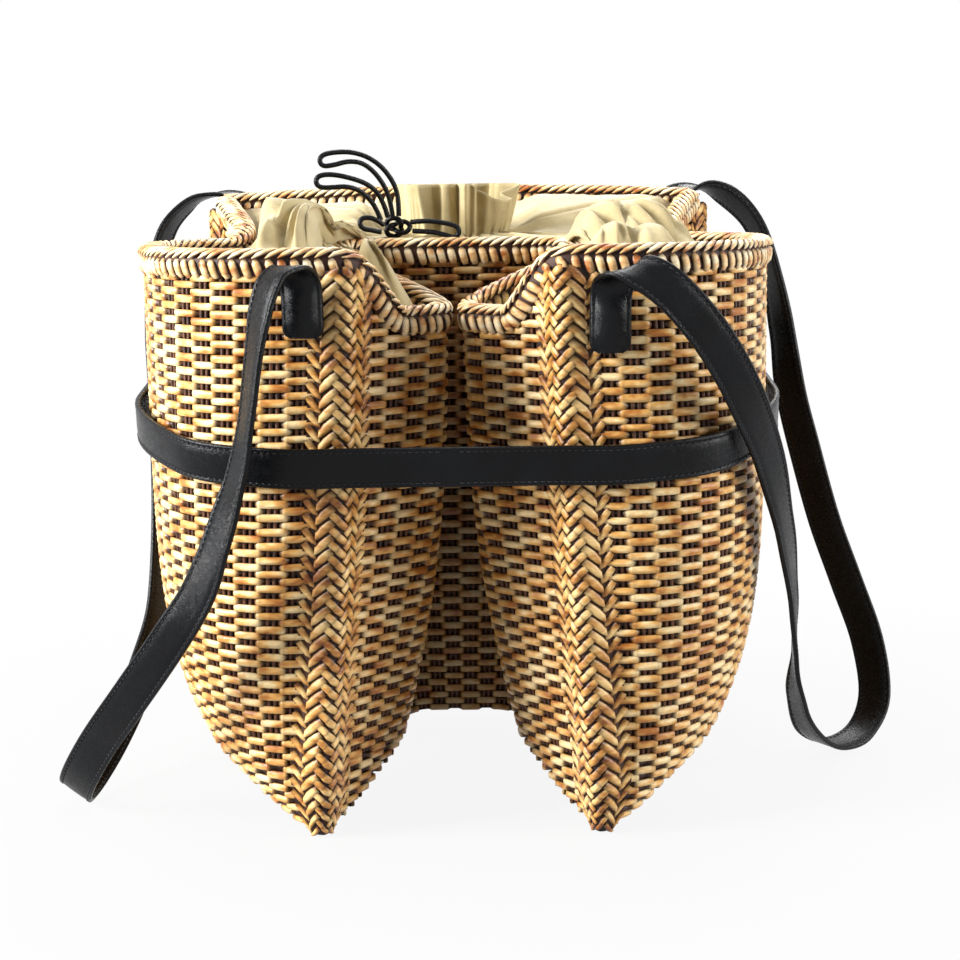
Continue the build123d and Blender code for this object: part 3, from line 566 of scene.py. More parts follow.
# A skin behind the weave or the lining, from a lowest height up to the border
def backing(name, offset, material, top_extra, bottom):
    verts, faces, start = [], [], 0
    for side, n in stake_counts.items():
        grid = []
        for level, curves in zip(levels, level_curves):
            curve = curves[side]
            spot, out = along(curve, np.linspace(0, curve_length(curve), 3 * n + 1))
            spot = spot + out * offset
            top = seat + rim_change(*spot.T) + top_extra
            grid.append(lifted(spot, np.clip(level, bottom, top)))
        grid = np.array(grid)
        verts.append(grid.reshape(-1, 3))
        faces.append(grid_faces(*grid.shape[:2], start))
        start += grid.shape[0] * grid.shape[1]
    return mesh_piece(name, np.concatenate(verts), np.concatenate(faces), material)


shade_wall_off, shade_wall_above = -3.7, 1.0
backing("painted_shade_wall_behind_weave", shade_wall_off, shade_core_material, shade_wall_above, floor_height)

# Feet: a dark skin behind the weave and a dark floor between them, both painted shade seen through the gaps
foot_levels = [0.0, 1.0, 2.5, 5.0, 9.0, 14.0, 20.0, 26.0, 32.0, 38.0]
after_count, before_count = 40, 24
ring_count = after_count + before_count
foot_core_off, foot_core_share, foot_core_lift, floor_lift, outline_count = -2.6, 0.25, 0.6, 0.8, 60
foot_index = 0
for is_front in (True, False):
    rings = []
    for level in foot_levels:
        after, before, size = foot_curves(is_front, level / floor_height)
        ring = []
        for spot, out in (even_steps(after, after_count), even_steps(before, before_count)):
            ring.append(spot + out * (foot_core_off * from_least(foot_core_share, size)))
        rings.append(lifted(np.concatenate(ring), level + foot_core_lift))
    for grid in (np.array(rings), mirrored(np.array(rings))):
        quads = grid_faces(len(rings), ring_count, wrap=True).tolist() + [list(range(ring_count))]
        foot_index += 1
        mesh_piece(f"foot_core_{foot_index}", grid, quads, shade_core_material)
outline = np.concatenate([even_steps(curve, outline_count)[0] for curve in floor_curves.values()])
# A dark sheet at the floor between the feet: painted shade
mesh_piece("floor_under_lining", lifted(outline, floor_height + floor_lift), [list(range(len(outline)))], shade_core_material,
           smooth=False)
feet_piece = feet_weft.make("weave_feet", weft_material, "rattan")
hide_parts("woven_base")


# Border: one closed line over the wall, softened at the corners
def softened(loop, reach):
    kernel = np.exp(-0.5 * (np.arange(-3 * reach, 3 * reach + 1) / reach) ** 2)
    kernel /= kernel.sum()
    wrapped = np.concatenate([loop[-3 * reach:], loop, loop[:3 * reach]])
    return np.stack([np.convolve(wrapped[:, j], kernel, "valid") for j in range(loop.shape[1])], 1)


rim_step, rim_lift, wrap_spacing, wrap_spread = 1.0, 0.4, 5.7, 0.3
rim_parts = []
for curve in plan_curves(rim_height).values():
    spot, out = along(curve, np.arange(0, curve_length(curve), rim_step))
    rim_parts.append(spot - out * (wall / 2))
rim_plan = softened(np.concatenate(rim_parts), 3)
rim_base = softened((seat + rim_change(*rim_plan.T))[:, None], 3)[:, 0] + rim_lift
rim_line = np.column_stack([rim_plan, rim_base])
rim_way = unit(np.roll(rim_line, -1, axis=0) - np.roll(rim_line, 1, axis=0))
rim_out = unit(np.cross(rim_way, up))
rim_up = unit(np.cross(rim_out, rim_way))
rim_measure = measured(np.concatenate([rim_line, rim_line[:1]]))
border = Bundle()


def around_rim(values, s):
    closed = np.concatenate([values, values[:1]])
    s = s % rim_measure[-1]
    return np.stack([np.interp(s, rim_measure, closed[:, j]) for j in range(3)], -1)


wrap_pitch = rim_measure[-1] / round(rim_measure[-1] / wrap_spacing)
wrap_starts = np.arange(round(rim_measure[-1] / wrap_pitch)) * wrap_pitch
wrap_starts = wrap_starts + chance.normal(0, wrap_spread, len(wrap_starts))
# Wraps down the border's faces and leaves over its top: stations along, out and up, how far their faces lean out and
# up, half widths, crown and painted shade
wraps = ([1.3, 0.9, 0.2, -0.6, -1.1], [3.2, 4.8, 5.4, 5.3, 4.0], [-0.6, 1.2, 4.0, 6.6, 8.0],
         [(1, -0.5), (1, -0.15), (1, 0.05), (1, 0.25), (1, 0.8)], [1.7, 2.2, 2.3, 2.2, 1.6], 0.9,
         [0.4, 0.04, 0.0, 0.10, 0.8])
leaves = ([-2.2, 0.4, 3.6, 7.0, 10.0], [5.7, 5.5, 4.2, 1.8, -0.6], [8.8, 10.7, 12.2, 13.0, 12.8],
          [(1, 0.5), (1, 0.7), (0.6, 1), (0.2, 1), (0.1, 1)], [0.25, 1.2, 1.5, 1.45, 0.7], 0.8,
          [0.3, 0.0, 0.0, 0.08, 0.5])


# Strokes that repeat along the border on one face, their stations in order or turned about
def border_strokes(face, order, stroke):
    along_by, out_by, up_by, lean, half_wide, crown, shade = map(np.array, stroke)
    s = wrap_starts[:, None] + along_by[::order]
    place, outward, upward = around_rim(rim_line, s), unit(around_rim(rim_out, s)), unit(around_rim(rim_up, s))
    spots = place + outward * (face * out_by)[:, None] + upward * up_by[:, None]
    normals = unit(outward * (face * lean[:, :1]) + upward * lean[:, 1:])
    border.strokes(spots, normals, half_wide, crown, shade)


for face in (1, -1):
    border_strokes(face, 1, wraps)
    border_strokes(face, face, leaves)
rim_piece = border.make("plaited_border", border_material, "plait")
# A dark core under the border's strokes: painted shade in the gaps between them
core_ring = [(-3.4, 0.2), (3.4, 0.2), (4.5, 2.0), (4.5, 8.5), (2.8, 11.2), (-2.8, 11.2), (-4.5, 8.5), (-4.5, 2.0)]
core = np.stack([rim_line + rim_out * a + rim_up * b for a, b in core_ring], 1)
core = np.concatenate([core, core[:1]])
mesh_piece("border_core", core, grid_faces(*core.shape[:2], wrap=True), shade_core_material)

# Plaited ridges: a surface over each corner that the plait's strokes lie on
ridge_v = np.linspace(-1.75, 1.75, 43)
ridge_middle = len(ridge_v) // 2
ridge_levels, ridge_start, ridge_step = [1.2, 2.5, 5, 8, 11, 15, 19, 24, 29, 34], 38.5, 6.0
ridge_overlap, ridge_least_share, full_width_height = 3.0, 0.45, 26.0
crest_share, crest_power = 0.85, 1.6
front_flat_share, back_flat_share, flat_fade = 0.5, 0.1, (0.95, 1.3)


def ridge_surface(is_front):
    corner_spot = wall_point(corner_shares if is_front else back_corner_shares, rim_height)
    top = seat + float(rim_change(*corner_spot)) + ridge_overlap
    heights = np.concatenate([ridge_levels, np.arange(ridge_start, top, ridge_step), [top]])
    flat = front_flat_share if is_front else back_flat_share
    flat = flat * (1 - soft_step(np.abs(ridge_v), *flat_fade))[:, None]
    right = (ridge_v >= 0)[:, None]
    sheet = []
    for height in heights:
        if height < floor_height:
            after, before, _ = foot_curves(is_front, height / floor_height)
        else:
            curves = plan_curves(height)
            after, before = (curves["right"], curves["front"]) if is_front else (curves["back"], curves["right"])
        narrow = from_least(ridge_least_share, min(1.0, height / full_width_height))
        reach = ridge_width / 2 * narrow
        d = np.abs(ridge_v) * reach
        spot_a, out_a = along(after, np.minimum(d, curve_length(after)))
        spot_b, out_b = along(before, np.maximum(curve_length(before) - d, 0))
        spot, out = np.where(right, spot_a, spot_b), np.where(right, out_a, out_b)
        corner = spot_a[ridge_middle]
        ahead = unit(out_a[ridge_middle] + out_b[ridge_middle])
        lift = crest_share * ridge_crest * narrow * np.clip(1 - np.abs(ridge_v) ** crest_power, 0, 1)
        across_way = np.array([-ahead[1], ahead[0]])
        across_way = across_way * np.sign(across_way @ (spot_a[-1] - corner))
        chord = corner + across_way * (ridge_v * reach)[:, None] + ahead
        sheet.append(lifted((spot + out) * (1 - flat) + chord * flat + ahead * lift[:, None], height))
    return heights, np.array(sheet), top


# Places on a ridge's surface at heights and at shares of its half width
def sheet_at(heights, sheet, z, v):
    zi = np.interp(z, heights, np.arange(len(heights)))
    vi = np.interp(v, ridge_v, np.arange(len(ridge_v)))
    i, j = np.clip(zi.astype(int), 0, len(heights) - 2), np.clip(vi.astype(int), 0, len(ridge_v) - 2)
    a, b = (zi - i)[..., None], (vi - j)[..., None]
    return (sheet[i, j] * (1 - a) * (1 - b) + sheet[i + 1, j] * a * (1 - b)
            + sheet[i, j + 1] * (1 - a) * b + sheet[i + 1, j + 1] * a * b)


ridge_pitch, ridge_spread, first_stroke, below_top = 2 * row_pitch, 0.2, 3.0, 3.0
stroke_least_share, stroke_overrun, slope_up, slope_across = 0.5, 1.5, 1.5, 0.08
# Each stroke's start above its pitch, stations up and across, half widths, crown, painted shade and lift off the
# surface
square_up, square_wide = [-1.9, -1.0, 0.0, 1.0, 1.9], [1.8, 2.1, 2.15, 2.1, 1.8]
square_shade = [0.6, 0.12, 0.0, 0.12, 0.6]
leaf = (0.0, [-5.4, -3.3, -0.5, 1.9, 3.7], [1.0, 0.93, 0.74, 0.53, 0.36], [0.6, 2.0, 2.45, 2.4, 2.0], 1.0,
        [0.5, 0.06, 0.0, 0.15, 0.85], 0.6)
flank = (ridge_pitch / 2, [4.0, 2.4, 0.0, -2.4, -4.2], [1.56, 1.45, 1.27, 1.10, 0.96], [1.6, 1.95, 2.0, 1.8, 0.5], 0.9,
         [0.5, 0.1, 0.0, 0.25, 0.75], 0.25)
side_square = (5.9, square_up, [0.12, 0.21, 0.30, 0.39, 0.48], square_wide, 0.8, square_shade, 0.85)
middle_square = (2.3, square_up, [-0.18, -0.09, 0.0, 0.09, 0.18], square_wide, 0.8, square_shade, 0.7)


def ridge_strokes(bundle, heights, sheet, z0, side, stroke):
    start, dz, v, half_wide, crown, shade, raise_by = map(np.array, stroke)
    bottom, top = heights[0], heights[-1]
    z0 = z0 + start
    z0 = z0[z0 + dz.max() <= top + stroke_overrun]
    z = np.clip(z0[:, None] + dz, bottom, top)
    v = np.broadcast_to(side * v, z.shape)
    upper = sheet_at(heights, sheet, np.minimum(z + slope_up, top), v)
    lower = sheet_at(heights, sheet, np.maximum(z - slope_up, bottom), v)
    dvv = sheet_at(heights, sheet, z, v + slope_across) - sheet_at(heights, sheet, z, v - slope_across)
    normal = unit(np.cross(dvv, upper - lower))
    narrow = from_least(stroke_least_share, np.clip(z / full_width_height, 0, 1))
    bundle.strokes(sheet_at(heights, sheet, z, v) + normal * raise_by, normal, half_wide * narrow, crown, shade)


ridge_pieces = {}
for is_front in (True, False):
    heights, sheet, top = ridge_surface(is_front)
    plait = Bundle()
    z0 = np.arange(first_stroke, top - below_top, ridge_pitch)
    z0 = z0 * (top - below_top) / z0[-1] + chance.normal(0, ridge_spread, len(z0))
    for side in (1, -1):
        for stroke in (leaf, flank, side_square):
            ridge_strokes(plait, heights, sheet, z0, side, stroke)
    ridge_strokes(plait, heights, sheet, z0, 1, middle_square)
    for flip in (False, True):
        end = "left" if flip else "right"
        name = f"{'front' if is_front else 'back'}_{end}_ridge"
        verts, faces, grid = np.concatenate(plait.verts), np.concatenate(plait.faces), sheet[:, 2:-2]
        rows, cols = grid.shape[:2]
        core_faces = grid_faces(rows, cols)
        top_row = np.arange((rows - 1) * cols, rows * cols)
        if flip:
            verts, grid = mirrored(verts), mirrored(grid)
            faces, core_faces, top_row = faces[:, ::-1], core_faces[:, ::-1], top_row[::-1]
        piece = mesh_piece(name + "_plait", verts, faces, plait_material, np.concatenate(plait.shade))
        # A dark sheet under the ridge's strokes: painted shade in the gaps
        mesh_piece(name + "_core", grid, core_faces.tolist() + [top_row.tolist()], shade_core_material)
        ridge_pieces[name] = piece

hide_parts("rim_border")
for name, piece in ridge_pieces.items():
    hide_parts(name)

# Leather ribbons with rounded, stitched edges
leather_top = [(-1.0, -0.3), (-1.0, 0.6), (-0.95, 1.0), (-0.86, 1.1), (-0.79, 0.62), (-0.73, 0.86), (-0.4, 1.0)]
leather_under = [(0.97, -0.95), (0.86, -1.1), (0.79, -0.62), (0.73, -0.86), (0.4, -1.0)]
leather_profile = leather_top + [(-a, b) for a, b in reversed(leather_top)] + leather_under + [(0.0, -1.0)]
leather_profile += [(-a, b) for a, b in reversed(leather_under)]
stitch_pitch, stitch_length = 3.3, 2.3
tab_padding, tab_rise, tab_fall, tab_length = 4.6, 8.0, 18.0, 33.0
tab_ends, tab_narrow_shares = [0.0, 1.0, 2.5, 5.0], [0.62, 0.82, 0.94, 1.0]


def ribbon(name, line, wide, face, width, thick, nodes, closed=False, both_faces=True, tab=False):
    measure = measured(line)
    narrow, padding = np.ones(len(line)), np.zeros(len(line))
    if tab:
        narrow = np.interp(measure, tab_ends, tab_narrow_shares)
        padding = tab_padding * soft_step(measure, 0.0, tab_rise) * (1 - soft_step(measure, tab_fall, tab_length))
    grid = []
    for a, b in leather_profile:
        swell = padding * (1 - a * a) if b < 0 else 0 * padding
        off = b * thick / 2 - swell
        grid.append(line + wide * (a * width / 2 * narrow)[:, None] + face * off[:, None])
    grid = np.stack(grid, 1)
    rows, cols = grid.shape[:2]
    if closed:
        grid = np.concatenate([grid, grid[:1]])
        rows += 1
    quads = grid_faces(rows, cols, 0, wrap=True).tolist()
    if not closed:
        quads += [list(range(cols)), list(range((rows - 1) * cols, rows * cols))[::-1]]
    piece = mesh_piece(name, grid, quads, leather)
    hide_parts(*nodes)
    starts = np.arange(stitch_pitch, measure[-1] - stitch_pitch, stitch_pitch)
    sewing = Bundle()
    steps = np.array([-0.5, -0.25, 0.25, 0.5]) * stitch_length
    s = starts[:, None] + steps[None]
    p, w, f = (np.stack([np.interp(s, measure, a[:, j]) for j in range(3)], -1) for a in (line, wide, face))
    w, f = unit(w), unit(f)
    for edge in (-0.79, 0.79):
        for turn in ((1, -1) if both_faces else (1,)):
            dip = np.array([0.55, 0.92, 0.92, 0.55])[None, :, None] * thick / 2
            spots = p + w * (edge * width / 2) + f * turn * dip
            sewing.strokes(spots, f * turn, np.array([0.2, 0.34, 0.34, 0.2]), 0.3, np.zeros(4))
    sewing.make(name + "_stitches", thread, "leather")


# A place between b and c on the smooth curve through four points
def catmull_place(a, b, c, d, t):
    return b + (c - a) * t / 2 + (2 * a - 5 * b + 4 * c - d) * t * t / 2 + (3 * b - a - 3 * c + d) * t ** 3 / 2


# A strap's middle line, width directions and face directions
def strap_line(stops, steps):
    places = np.array([(axis_x + x * half_width, front_y + y * depth, z * rim_height) for x, y, z, *_ in stops])
    widths = np.array([stop[3:] for stop in stops])
    line, wide = [], []
    for i in range(len(places) - 1):
        a, b, c, d = (places[min(max(k, 0), len(places) - 1)] for k in (i - 1, i, i + 1, i + 2))
        for k in range(steps):
            t = k / steps
            line.append(catmull_place(a, b, c, d, t))
            s = t * t * (3 - 2 * t)
            wide.append(widths[i] * (1 - s) + widths[i + 1] * s)
    line.append(places[-1])
    wide.append(widths[-1])
    line, wide = np.array(line), np.array(wide)
    way = unit(np.gradient(line, axis=0))
    wide = unit(wide - way * (wide * way).sum(1)[:, None])
    return line, wide, unit(np.cross(way, wide))


for name, stops in (("left_strap", left_strap_shares), ("right_strap", right_strap_shares)):
    line, wide, face = strap_line(stops, 7)
    ribbon(name + "_leather", line, wide, face, strap_width, strap_thick, [name], tab=True)

# Belt on its tilted plane
belt_angle = atan2(belt_tilt_share, 1)
belt_slack = belt_ease + belt_width / 2 * sin(belt_angle)
course_swell, clearance = 0.9, 0.4
off_wall = course_swell + belt_slack + belt_thick / 2
off_ridge = course_swell + clearance + ridge_crest + belt_slack + belt_thick / 2


def mitred(loop, i, distance):
    a, b, c = loop[i - 1], loop[i], loop[(i + 1) % len(loop)]
    before = atan2(b[1] - a[1], b[0] - a[0])
    turn = (atan2(c[1] - b[1], c[0] - b[0]) - before + pi) % (2 * pi) - pi
    normal = before + turn / 2 - pi / 2
    stretch = distance / max(0.5, cos(turn / 2))
    return np.array([b[0] + stretch * cos(normal), b[1] + stretch * sin(normal)])


belt_loop = closed_loop([wall_point(s, belt_height) for s in half_shares])
fr = mitred(belt_loop, front_corner, off_ridge)
lobe = [mitred(belt_loop, front_corner + k, off_wall) for k in (1, 2, 3)]
br = mitred(belt_loop, back_corner, off_ridge)
bm = mitred(belt_loop, len(half_shares) - 1, off_wall)


# A cubic through points with given end directions
def hermite(points, first, last, steps):
    p = np.array(points)
    m = np.gradient(p, axis=0)
    m[0] = np.array(first) * np.linalg.norm(p[1] - p[0])
    m[-1] = np.array(last) * np.linalg.norm(p[-1] - p[-2])
    out = []
    for i in range(len(p) - 1):
        for k in range(steps):
            t = k / steps
            out.append((2 * t ** 3 - 3 * t ** 2 + 1) * p[i] + (t ** 3 - 2 * t ** 2 + t) * m[i]
                       + (3 * t ** 2 - 2 * t ** 3) * p[i + 1] + (t ** 3 - t ** 2) * m[i + 1])
    return out


reach = unit((br - lobe[-1])[None])[0]
right_side = hermite([fr] + lobe, (1.0, -0.05), reach, 12)
right_side += [lobe[-1] + (br - lobe[-1]) * t for t in np.linspace(0, 1, 16, endpoint=False)]
arc_ease = np.linspace(0, 1, 20, endpoint=False)
back_half = [br + (bm - br) * t + np.array([0, (bm[1] - br[1]) * (t - t * t) * 0.9]) for t in arc_ease]
half_belt = right_side + back_half
front_run = [np.array([axis_x + (fr[0] - axis_x) * t, fr[1]]) for t in np.linspace(0, 1, 24, endpoint=False)]
half_belt = front_run + half_belt + [bm]
belt_plan = np.array(half_belt + [across(p) for p in reversed(half_belt[1:-1])])
belt_line = np.column_stack([belt_plan, belt_height + (belt_plan[:, 1] - front_y) * belt_tilt_share])
way = unit(np.roll(belt_line, -1, axis=0) - np.roll(belt_line, 1, axis=0))
tilt_up = np.array([0, -sin(belt_angle), cos(belt_angle)])
belt_wide = np.broadcast_to(tilt_up, belt_line.shape)
belt_face = unit(np.cross(way, belt_wide))
ribbon("waist_belt_leather", belt_line, -belt_wide, belt_face, belt_width, belt_thick, ["waist_belt"], closed=True,
       both_faces=False)


# A closed loop with more points on the smooth curve through it
def refined(loop, steps):
    p = np.array(loop)
    fine = []
    for i in range(len(p)):
        a, b, c, d = (p[(i + k) % len(p)] for k in (-1, 0, 1, 2))
        for k in range(steps):
            fine.append(catmull_place(a, b, c, d, k / steps))
    return np.array(fine)


# An oval about the drawn mouth whose points match the plan's points by their angles
def mouth_loop(half_wide, half_deep):
    half = [mouth_centre + (half_wide * cos(radians(a)), half_deep * sin(radians(a))) for a in mouth_angles]
    return refined(closed_loop(half), collar_steps)


# A smooth bump between two places with soft ends
def between(value, low, high, soft):
    return soft_step(value, low - soft, low + soft) * (1 - soft_step(value, high - soft, high + soft))


# A roll across the depth, steeper or flatter before and behind its crest
def roll(value, crest, before, behind):
    reach = np.where(value < crest, before, behind)
    return np.exp(-np.abs((value - crest) / reach) ** 2.6)


# A crease that runs from one place to another
def crease(x, y, start, end, wide, deep):
    ax, ay = start
    bx, by = end[0] - ax, end[1] - ay
    t = np.clip(((x - ax) * bx + (y - ay) * by) / (bx * bx + by * by), 0, 1)
    return deep * np.exp(-((x - ax - t * bx) ** 2 + (y - ay - t * by) ** 2) / wide ** 2)


# Creases: from one place to another, then width and depth
creases = [
    ((-66, 66), (-72, 20), 3.6, 9.0), ((-88, 46), (-84, 22), 3.4, 7.0), ((91, 106), (86, 72), 3.6, 7.0),
    ((92, 44), (90, 24), 3.0, 5.5), ((-60, 40), (-46, 30), 5.0, 12.0), ((-80, 120), (-62, 84), 5.0, 6.0),
    ((112, 120), (118, 80), 4.0, 5.0),
]


# Puffs: span across and its softness, crest with its reach before and behind, then height with its slope and bow about
# a place
puffs = [
    ((-99, -50, 4), (62, 34, 42), (29, 0.16, 0, -97)), ((-118, -50, 9), (178, 50, 38), (12, 0, 0, 0)),
    ((64, 126, 10), (100, 20, 26), (24, 0, 0.011, 92)), ((60, 112, 10), (42, 15, 14), (15, 0, 0.006, 85)),
    ((40, 145, 10), (205, 40, 35), (8, 0, 0, 0)), ((-50, -10, 5), (48, 18, 18), (40, 0.6, 0, -50)),
]
# Hollows: span across, span along, then depth
hollows = [((-175, -104, 8), (5, 150, 12), 13), ((4, 58, 5), (8, 104, 8), 14)]


# How high the cotton puffs up at a place measured from the front's middle
def puffed(x, y):
    heights = []
    for span, crest, (tall, slope, bow, about) in puffs:
        top = tall - slope * (x - about) - bow * (x - about) ** 2
        heights.append(between(x, *span) * roll(y, *crest) * top)
    high = np.maximum.reduce(heights)
    for across_span, along_span, deep in hollows:
        high = high - between(x, *across_span) * between(y, *along_span) * deep
    for each in creases:
        high = high - crease(x, y, *each)
    return high


# Collar: up the lining's wall to the brim, over soft puffs to the gathered neck, then a pleated hem
collar_steps, cloth_thick = 20, 0.9 * MM
mouth_centre = plan(0.012, 0.607)
base_height, neck_height, hem_height = seat - flap_dip - 4.0, 302.0, 331.0
base_off, brim_off, brim_below, notch_clear = 8.6, 9.5, 7.0, 70.0
collar_stretches = (("front", 0.5, 1.0, 7), ("right", 0.0, 1.0, 7), ("back", 0.0, 1.0, 4), ("left", 0.0, 1.0, 7),
                    ("front", 0.0, 0.5, 7))


# A loop inside the wall at a height, with the columns of the collar
def inside_loop(height, offset):
    curves = plan_curves(height)
    loop = []
    for name, start, end, spans in collar_stretches:
        share = start + (end - start) * np.arange(spans * collar_steps) / (spans * collar_steps)
        spot, out = along(curves[name], share * curve_length(curves[name]))
        loop.append(spot - out * offset)
    return softened(np.concatenate(loop), 4)


base, brim = inside_loop(base_height, base_off), inside_loop(rim_height, brim_off)
brim_height = rim_height + rim_change(*brim.T) - brim_below
brim_height = softened(brim_height[:, None], 5)[:, 0]
neck, hem = mouth_loop(25.0, 11.0), mouth_loop(30.0, 16.0)
columns = len(base)
turn = np.arange(columns) / columns * 2 * pi
radial = unit(hem - mouth_centre)
folds = 0.62 * np.sin(34 * turn + 0.9 * np.sin(5 * turn)) + 0.38 * np.sin(19 * turn + 1.3 + np.sin(3 * turn))
round_hem = np.arctan2(hem[:, 1] - mouth_centre[1], hem[:, 0] - mouth_centre[0])
round_brim = measured(brim)
pucker = np.sin(round_brim / 2.6 + 1.6 * np.sin(round_brim / 13.0)) + 0.6 * np.sin(round_brim / 5.3 + 0.7)
outward = unit(brim - neck)
middle_x = (np.abs(brim[:, 0] - axis_x) + np.abs(neck[:, 0] - axis_x)) / 2
in_front = 1 - soft_step(brim[:, 1] - front_y, 96.0, 112.0)
sideways = np.maximum(notch_clear - middle_x, 0) * in_front * np.sign(brim[:, 0] - axis_x)
detour = np.column_stack([sideways, np.zeros(columns)])
wall_rows, puff_rows, hem_rows = 6, 34, 14
fold_push, fold_lift_share, puff_in, puff_out = 3.2, 0.03, (0.0, 0.12), (0.72, 1.0)
fold_by_puff, fold_by_row = (2.0, 16.0), (0.02, 0.14)
gather_rows, gather_sizes = [0.0, 0.4, 0.8, 1.0], [0.3, 0.8, 2.2, 2.6]
pleat_rows, pleat_sizes, neck_folds, hem_flare = [0, 0.2, 1], [0.8, 1.8, 3.6], 2.6, 0.7
pleats = np.sin(9 * round_hem + 1.4 * np.sin(3 * round_hem)) + 0.45 * np.sin(17 * round_hem + 0.6)
hem_fall = 15.0 * soft_step(hem[:, 0] - mouth_centre[0], 4, 34) * soft_step(-np.sin(round_hem), -0.2, 0.6)
rows = []
for t in np.linspace(0, 1, wall_rows)[:-1]:
    rows.append(lifted(base + (brim - base) * t, base_height + (brim_height - base_height) * t))
for q in np.linspace(0, 1, puff_rows)[:-1]:
    spot = brim + (neck - brim) * q + detour * (4 * q * (1 - q))
    shown = soft_step(q, *puff_in) * (1 - soft_step(q, *puff_out))
    gather = np.interp(q, gather_rows, gather_sizes)
    rise = brim_height + (neck_height - brim_height) * q + gather * folds
    puff = shown * puffed(spot[:, 0] - axis_x, spot[:, 1] - front_y)
    pushed = pucker * fold_push * soft_step(puff, *fold_by_puff) * soft_step(q, *fold_by_row)
    rows.append(lifted(spot + outward * pushed[:, None], rise + puff * (1 + fold_lift_share * pucker)))
for t in np.linspace(0, 1, hem_rows):
    waved = np.interp(t, pleat_rows, pleat_sizes) * pleats
    spot = neck + (hem - neck) * t ** hem_flare + radial * waved[:, None]
    rise = neck_height + (hem_height - hem_fall - neck_height) * t + (1 - t) * neck_folds * folds
    rows.append(lifted(spot, rise))
cloth = np.array(rows)
collar = mesh_piece("gathered_collar", cloth, grid_faces(len(cloth), columns, 0, wrap=True), cotton)
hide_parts("drawstring_collar")


thicken = collar.modifiers.new("cloth", "SOLIDIFY")
thicken.thickness = cloth_thick

lining_off, lining_top, lining_bottom = -6.4, -2.0, floor_height + 6.0
lining_inner = backing("cotton_lining_cloth", lining_off, cotton, lining_top, lining_bottom)
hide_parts("cotton_lining")
mesh_piece("cotton_lining_floor", lifted(outline, lining_bottom), [list(range(len(outline)))], cotton)

# Drawstring and its knot, a trefoil drawn tight
kx, ky, kz = axis_x + knot_spot[0], front_y + knot_spot[1], knot_spot[2]
knot_ring, knot_wave, knot_wide_share, knot_turns = 3.5, 1.9, 1.35, 48
knot_points = []
for k in range(knot_turns):
    a = 4 * pi * k / knot_turns
    ring = knot_ring + knot_wave * cos(1.5 * a)
    knot_points.append(((kx + knot_wide_share * ring * cos(a)) * MM, (ky + knot_wave * sin(1.5 * a)) * MM,
                        (kz + ring * sin(a)) * MM))


def curve_piece(name, points, radius, cyclic=False):
    data = bpy.data.curves.new(name, "CURVE")
    data.dimensions = "3D"
    data.bevel_depth = radius * MM
    data.bevel_resolution = 4
    data.resolution_u = 8
    data.use_fill_caps = True
    run = data.splines.new("NURBS")
    run.points.add(len(points) - 1)
    for point, place in zip(run.points, points):
        point.co = (*place, 1.0)
    run.order_u = 3
    run.use_endpoint_u = not cyclic
    run.use_cyclic_u = cyclic
    data.materials.append(leather)
    piece = placed(name, data)
    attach(piece, "root")
    return piece


knot = curve_piece("drawstring_knot_wraps", knot_points, cord_diameter / 2, cyclic=True)
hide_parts("drawstring_knot")
for name, route in cord_routes.items():
    points = [((axis_x + x) * MM, (front_y + y) * MM, z * MM) for x, y, z in route]
    piece = curve_piece(name + "_cord", points, cord_diameter / 2)
    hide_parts(name)

# Camera at the photograph's viewing angle
camera_data = bpy.data.cameras.new("camera")
camera_data.lens = 69.375
camera_data.sensor_width = 36.0
camera_data.clip_end = 20.0
camera = placed("camera", camera_data)
view_azimuth, view_pitch, view_yaw, view_roll = 0.8, 9.51, 0.65, 0.8
view_distance, view_height, aim_depth = 1015.0, 338.5, 110.0
a = radians(view_azimuth)
eye = Vector((axis_x + view_distance * sin(a), front_y + aim_depth - view_distance * cos(a), view_height)) * MM
heading = a - radians(view_yaw)
pitch = radians(view_pitch)
ahead = Vector((-sin(heading) * cos(pitch), cos(heading) * cos(pitch), -sin(pitch)))
right = Vector((cos(heading), sin(heading), 0.0))
above = right.cross(ahead)
tilt = radians(view_roll)
right, above = right * cos(tilt) - above * sin(tilt), above * cos(tilt) + right * sin(tilt)
turned = Matrix((right, above, -ahead)).transposed().to_4x4()
turned.translation = eye
camera.matrix_world = turned
bpy.context.scene.camera = camera


# Rays that see the white background: straight from the camera, mirrored or let through
def seen_rays(tree):
    path = add_node(tree, "LightPath")
    seen = path.outputs["Is Camera Ray"]
    for kind in ("Is Glossy Ray", "Is Transmission Ray"):
        seen = add_node(tree, "Math", {0: seen, 1: path.outputs[kind]}, operation="MAXIMUM").outputs[0]
    return seen


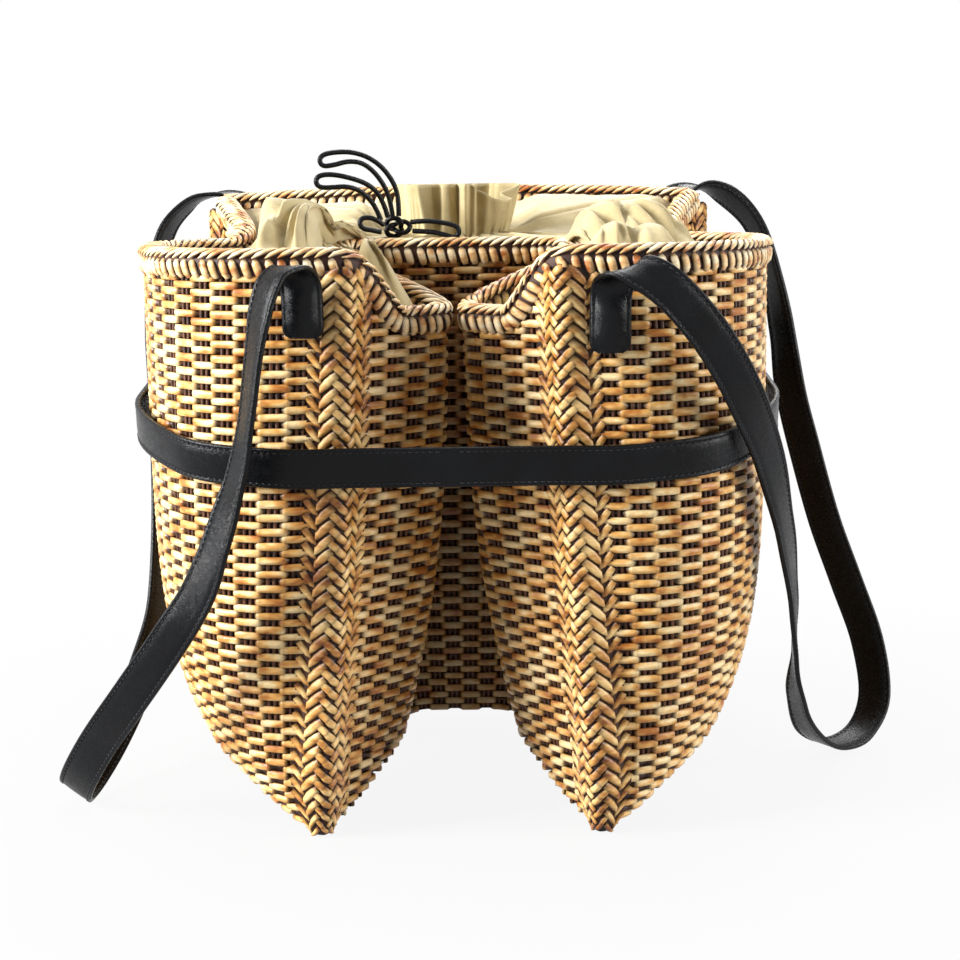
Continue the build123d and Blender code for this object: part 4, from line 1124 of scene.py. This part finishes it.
# A pale floor that fades to white away from the object and keeps its shadow
def stage_material():
    m, tree, skin = new_material("pale_floor")
    set_inputs(tree, skin, {"Base Color": (0.30, 0.30, 0.30, 1), "Roughness": 0.9})
    glow = add_node(tree, "Emission", {"Strength": 1.0})
    where = add_node(tree, "TexCoord").outputs["Object"]
    far = add_node(tree, "VectorMath", {0: where}, operation="LENGTH").outputs["Value"]
    reach = {"From Min": 0.15, "From Max": 0.55, "To Min": 0.90, "To Max": 1.0, "Value": far}
    fade = add_node(tree, "MapRange", reach).outputs["Result"]
    seen = add_node(tree, "Math", {0: seen_rays(tree), 1: fade}, operation="MULTIPLY").outputs[0]
    both = add_node(tree, "MixShader", {0: seen, 1: skin.outputs[0], 2: glow.outputs[0]})
    set_inputs(tree, tree.nodes["Material Output"], {"Surface": both.outputs[0]})
    return m


floor_half = 6.0
floor_mesh = bpy.data.meshes.new("floor")
floor_corners = [(x * floor_half, y * floor_half, 0) for x, y in ((-1, -1), (1, -1), (1, 1), (-1, 1))]
floor_mesh.from_pydata(floor_corners, [], [(0, 1, 2, 3)])
floor_mesh.materials.append(stage_material())
floor = placed("floor", floor_mesh)

# White behind the floor, with little light of its own
world = bpy.data.worlds.new("studio")
world.use_nodes = True
sky = world.node_tree
soft = sky.nodes["Background"]
set_inputs(sky, soft, {"Color": (1, 1, 1, 1), "Strength": 0.05})
white = add_node(sky, "Background", {"Color": (1, 1, 1, 1), "Strength": 1.0})
choice = add_node(sky, "MixShader", {0: seen_rays(sky), 1: soft.outputs[0], 2: white.outputs[0]})
set_inputs(sky, sky.nodes["World Output"], {"Surface": choice.outputs[0]})
bpy.context.scene.world = world


# Soft studio lamps
def lamp(name, place, aim, size, power):
    data = bpy.data.lights.new(name, "AREA")
    data.shape = "RECTANGLE"
    data.size, data.size_y = size
    data.energy = power
    piece = placed(name, data)
    piece.location = place
    piece.rotation_euler = (Vector(aim) - Vector(place)).to_track_quat("-Z", "Y").to_euler()


lamp("key_left", (-1.84, -0.64, 0.95), (-0.08, 0, 0.19), (0.7, 1.2), 142)
lamp("fill_right", (1.85, -0.50, 0.70), (0.05, 0, 0.17), (0.7, 1.3), 44)
lamp("top", (0.0, 0.35, 1.9), (0, 0, 0.1), (1.0, 0.8), 15)
lamp("behind", (0.4, 1.7, 1.7), (0, 0, 0.15), (1.2, 0.8), 30)

bpy.context.scene.view_settings.view_transform = "Standard"
